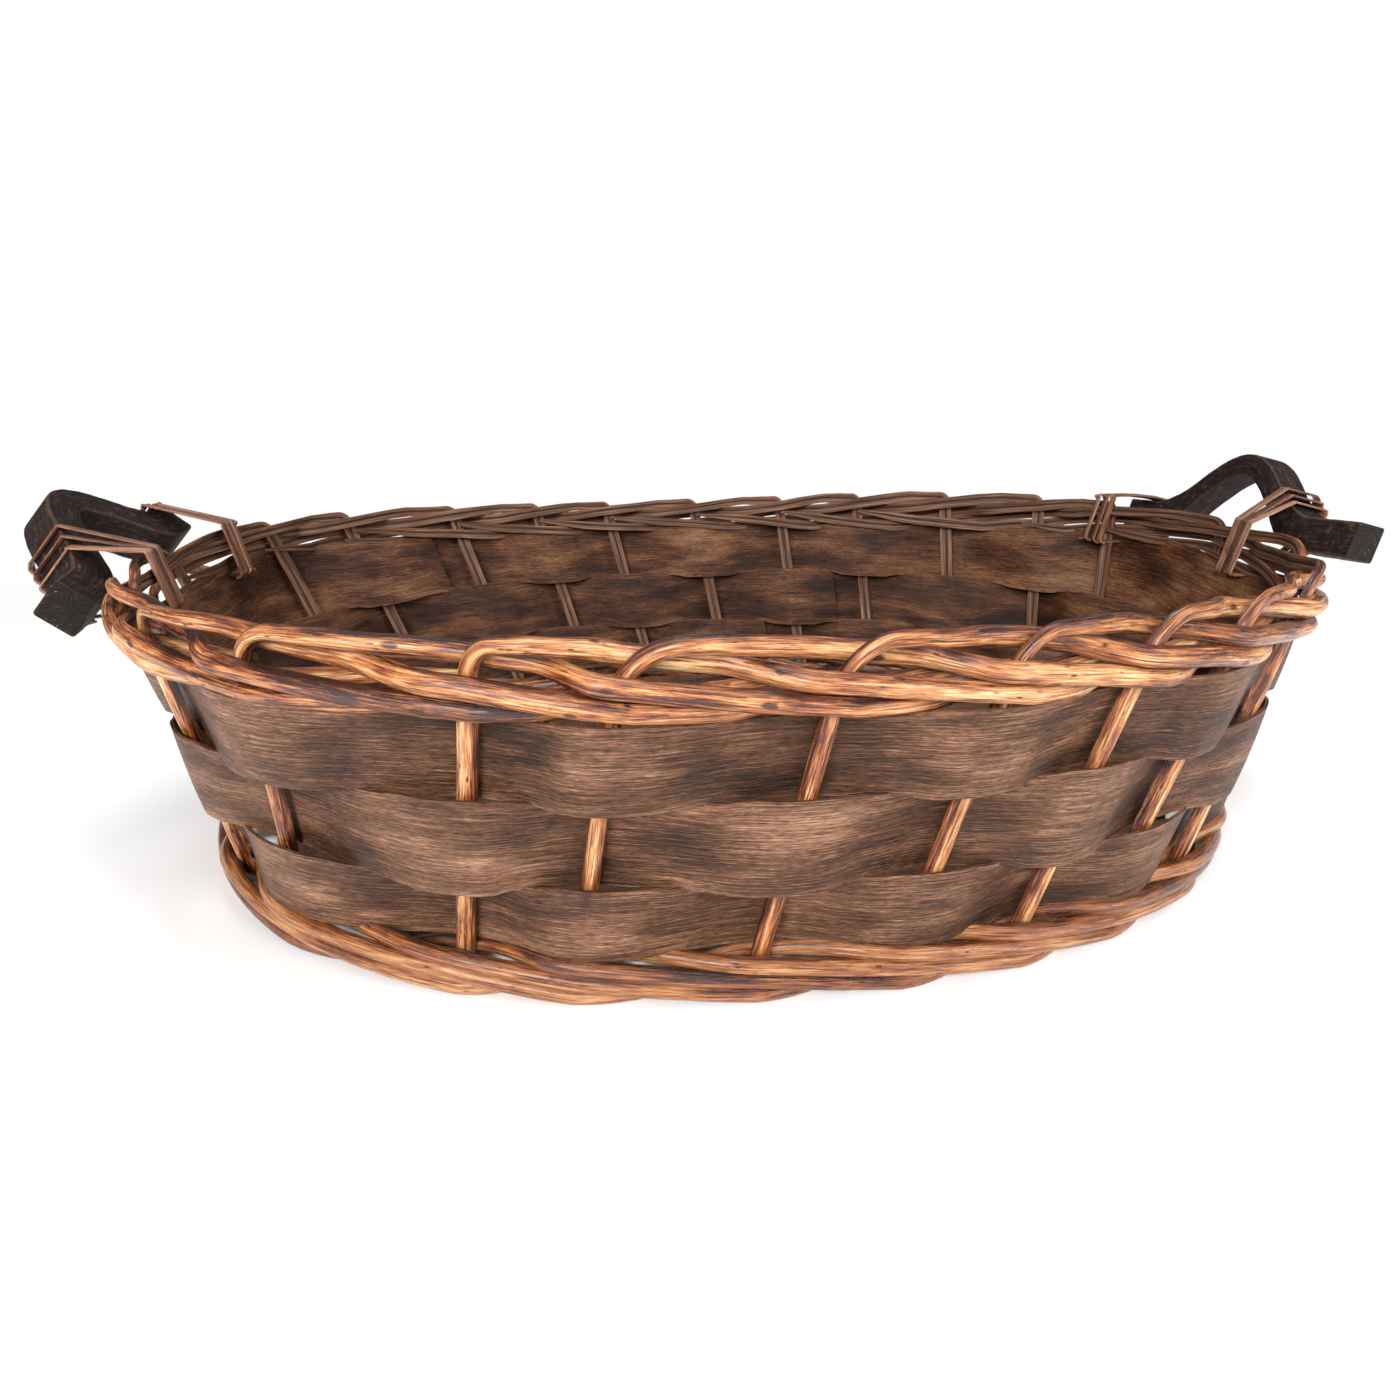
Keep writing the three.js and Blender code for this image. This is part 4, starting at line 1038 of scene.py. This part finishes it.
# %% Make the lashings
def make_lashing(name):
    """Support point of the corners in each direction, with the turns spread evenly along Y."""
    h, along = HANDLES[name.split("_")[0]], LASHINGS[name]
    count = LASHING_TURNS * LASHING_PLACES + 1
    turn = np.linspace(0, LASHING_TURNS, count)
    angle = -np.pi / 2 + turn * 2 * np.pi
    y = h["middle"] + along + np.sign(along) * LASHING_PITCH * (LASHING_TURNS / 2 - turn)
    normal = np.stack([np.cos(angle), np.sin(angle)], -1)
    rise, face = handle_axes(h)
    line = handle_line(h, y)
    line[:, 0] += h["side"] * h["out"]
    slope = (arch(h, y + 1) - arch(h, y - 1)) / 2
    tall, wide = (board_height(h, y) / 2 * np.hypot(1, slope))[:, None], h["width"] / 2
    corners = [line + rise * a * tall + face * b * wide for a in (-1, 1) for b in (-1, 1)]
    corners = [np.stack([c[:, 0] * h["side"], c[:, 2]], -1) for c in corners]
    for level in (lashed_underside, rim_shoulder, rim_high):
        inner, outer = rim_sides(y, level)
        corners += [np.stack([side, np.full_like(y, level)], -1) for side in (inner, outer)]
    corners = np.stack(corners, 1)
    best = np.argmax(np.einsum("ijk,ik->ij", corners, normal), axis=1)
    spot = corners[np.arange(count), best] + normal * (LASHING_OFF + LASHING_OVER * turn)[:, None]
    sway = wander(turn * 3.1, 500 + len(name), LASHING_SWAY)
    y = y + LASHING_SLANT * np.sin(angle + LASHING_START) + sway
    places = np.stack([h["side"] * spot[:, 0], y, spot[:, 1]], -1)
    facing = np.stack([h["side"] * normal[:, 0], np.zeros(count), normal[:, 1]], -1)
    section = worn_square(1, LASHING_WORN, 3) * [LASHING_WIDTH, LASHING_THICKNESS]
    rings = carry(places, facing, section, roll=wander(turn * 2.3, 520 + len(name), LASHING_ROLL))
    piece = skin(f"split_lashing_{name}", rings, [0] * len(section), [lashing_bark, willow_cut],
                 seed=140 + len(name),
                 marks={"crest_highlight": 0.5, "scar": 0.0, "tone": np.sin(turn * 2.5)[:, None]})
    return stand_for(piece, f"lashing_{name}")


lashings = [make_lashing(name) for name in LASHINGS]
print("lashings", len(lashings))

# %% [markdown]
# ## Floor, light and camera
# The photograph is a cut-out on white, so the floor is a plain near-white sheet that keeps the
# basket's soft shadow. More light would whiten the sheet's far end too, but it would bleach the
# wood, so only what the camera sees of it glows. Large soft lamps give the long highlights on the
# waxed bark. The camera stands close, with a wide lens, a little above the rim and to the left of
# the middle.

# %% Floor and backdrop
SHEET_NEAR, SHEET_FAR, SHEET_HALF = 0.3, 0.75, 6
WORLD_LIGHT = 0.22
floor_mesh = bpy.data.meshes.new("floor")
corners = [(x * SHEET_HALF, y * SHEET_HALF, 0) for x, y in ((-1, -1), (1, -1), (1, 1), (-1, 1))]
floor_mesh.from_pydata(corners, [], [(0, 1, 2, 3)])
floor = bpy.data.objects.new("floor", floor_mesh)
bpy.context.scene.collection.objects.link(floor)
floor_paper, sheet, sheet_bsdf = new_finish("white_paper")
feed(sheet, sheet_bsdf, {"Base Color": srgb("#fafafa"), "Roughness": 0.9})
distance = add(sheet, "VectorMath", {0: add(sheet, "NewGeometry", {})}, "Value", operation="LENGTH")
far = add(sheet, "MapRange", {"Value": distance, "From Min": SHEET_NEAR, "From Max": SHEET_FAR}, **SMOOTH)
seen_far = add(sheet, "Math", {0: far, 1: add(sheet, "LightPath", {})}, operation="MULTIPLY")
paper = add(sheet, "MixShader", {0: seen_far, 1: sheet_bsdf.outputs["BSDF"], 2: add(sheet, "Emission", {})})
feed(sheet, sheet.nodes["Material Output"], {"Surface": paper})
floor_mesh.materials.append(floor_paper)

world = bpy.data.worlds.new("studio")
world.use_nodes = True
bpy.context.scene.world = world
sky = world.node_tree
strength = add(sky, "MapRange", {"Value": add(sky, "LightPath", {}), "To Min": WORLD_LIGHT, "To Max": 1.0})
feed(sky, sky.nodes["Background"], {"Color": (1, 1, 1, 1), "Strength": strength})
print("white beyond, m", SHEET_FAR, "and the world's light on the basket", WORLD_LIGHT)


# %% Lamps
def stand_at(right, upward, back, place):
    """A matrix whose columns are the three axes and the place."""
    return Matrix([[right[k], upward[k], back[k], place[k]] for k in range(3)] + [[0, 0, 0, 1]])


def softbox(name, place, target, size, power):
    """A square area lamp that looks at a point."""
    lamp = bpy.data.lights.new(name, "AREA")
    lamp.shape = "RECTANGLE"
    lamp.size, lamp.size_y = size
    lamp.energy = power
    holder = bpy.data.objects.new(name, lamp)
    back = unit(np.array(place, float) - np.array(target, float))
    right = unit(np.cross([0, 0, 1.0], back))
    upward = np.cross(back, right)
    holder.matrix_world = stand_at(right, upward, back, place)
    bpy.context.scene.collection.objects.link(holder)
    return holder


LAMP_TARGET = (0, 0, 0.05)
softbox("key_softbox", (-0.5, -1.15, 0.75), LAMP_TARGET, (0.7, 0.5), 23)
softbox("fill_softbox", (1.0, -0.85, 0.6), LAMP_TARGET, (0.7, 0.7), 10)
softbox("top_softbox", (0.1, 0.1, 1.3), LAMP_TARGET, (1.0, 0.5), 10)
print("lamps", [lamp.name for lamp in bpy.data.lights])

# %% Camera
CAMERA_PLACE = np.array([-41.5, -315.9, 166.3])
CAMERA_YAW, CAMERA_PITCH, CAMERA_ROLL = 0.095, 0.378, -0.005
FOCAL_PIXELS, IMAGE_PIXELS, SENSOR_MM = 840.6, 1400, 36


def aim(yaw, pitch, roll):
    """Right, up and back of a camera that looks along +Y when all three are 0."""
    forward = np.array([math.sin(yaw) * math.cos(pitch), math.cos(yaw) * math.cos(pitch), -math.sin(pitch)])
    right = np.array([math.cos(yaw), -math.sin(yaw), 0])
    upward = np.cross(right, forward)
    return (math.cos(roll) * right + math.sin(roll) * upward,
            -math.sin(roll) * right + math.cos(roll) * upward, -forward)


camera_data = bpy.data.cameras.new("camera")
camera = bpy.data.objects.new("camera", camera_data)
bpy.context.scene.collection.objects.link(camera)
camera_data.sensor_width = SENSOR_MM
camera_data.lens = SENSOR_MM * FOCAL_PIXELS / IMAGE_PIXELS
camera_data.clip_start, camera_data.clip_end = 0.01, 50
right, upward, back = aim(CAMERA_YAW, CAMERA_PITCH, CAMERA_ROLL)
place = (CAMERA_PLACE + MIDDLE) * MM
camera.matrix_world = stand_at(right, upward, back, place)
bpy.context.scene.camera = camera
bpy.context.scene.view_settings.view_transform = "Standard"
print("lens, mm", round(camera_data.lens, 2))
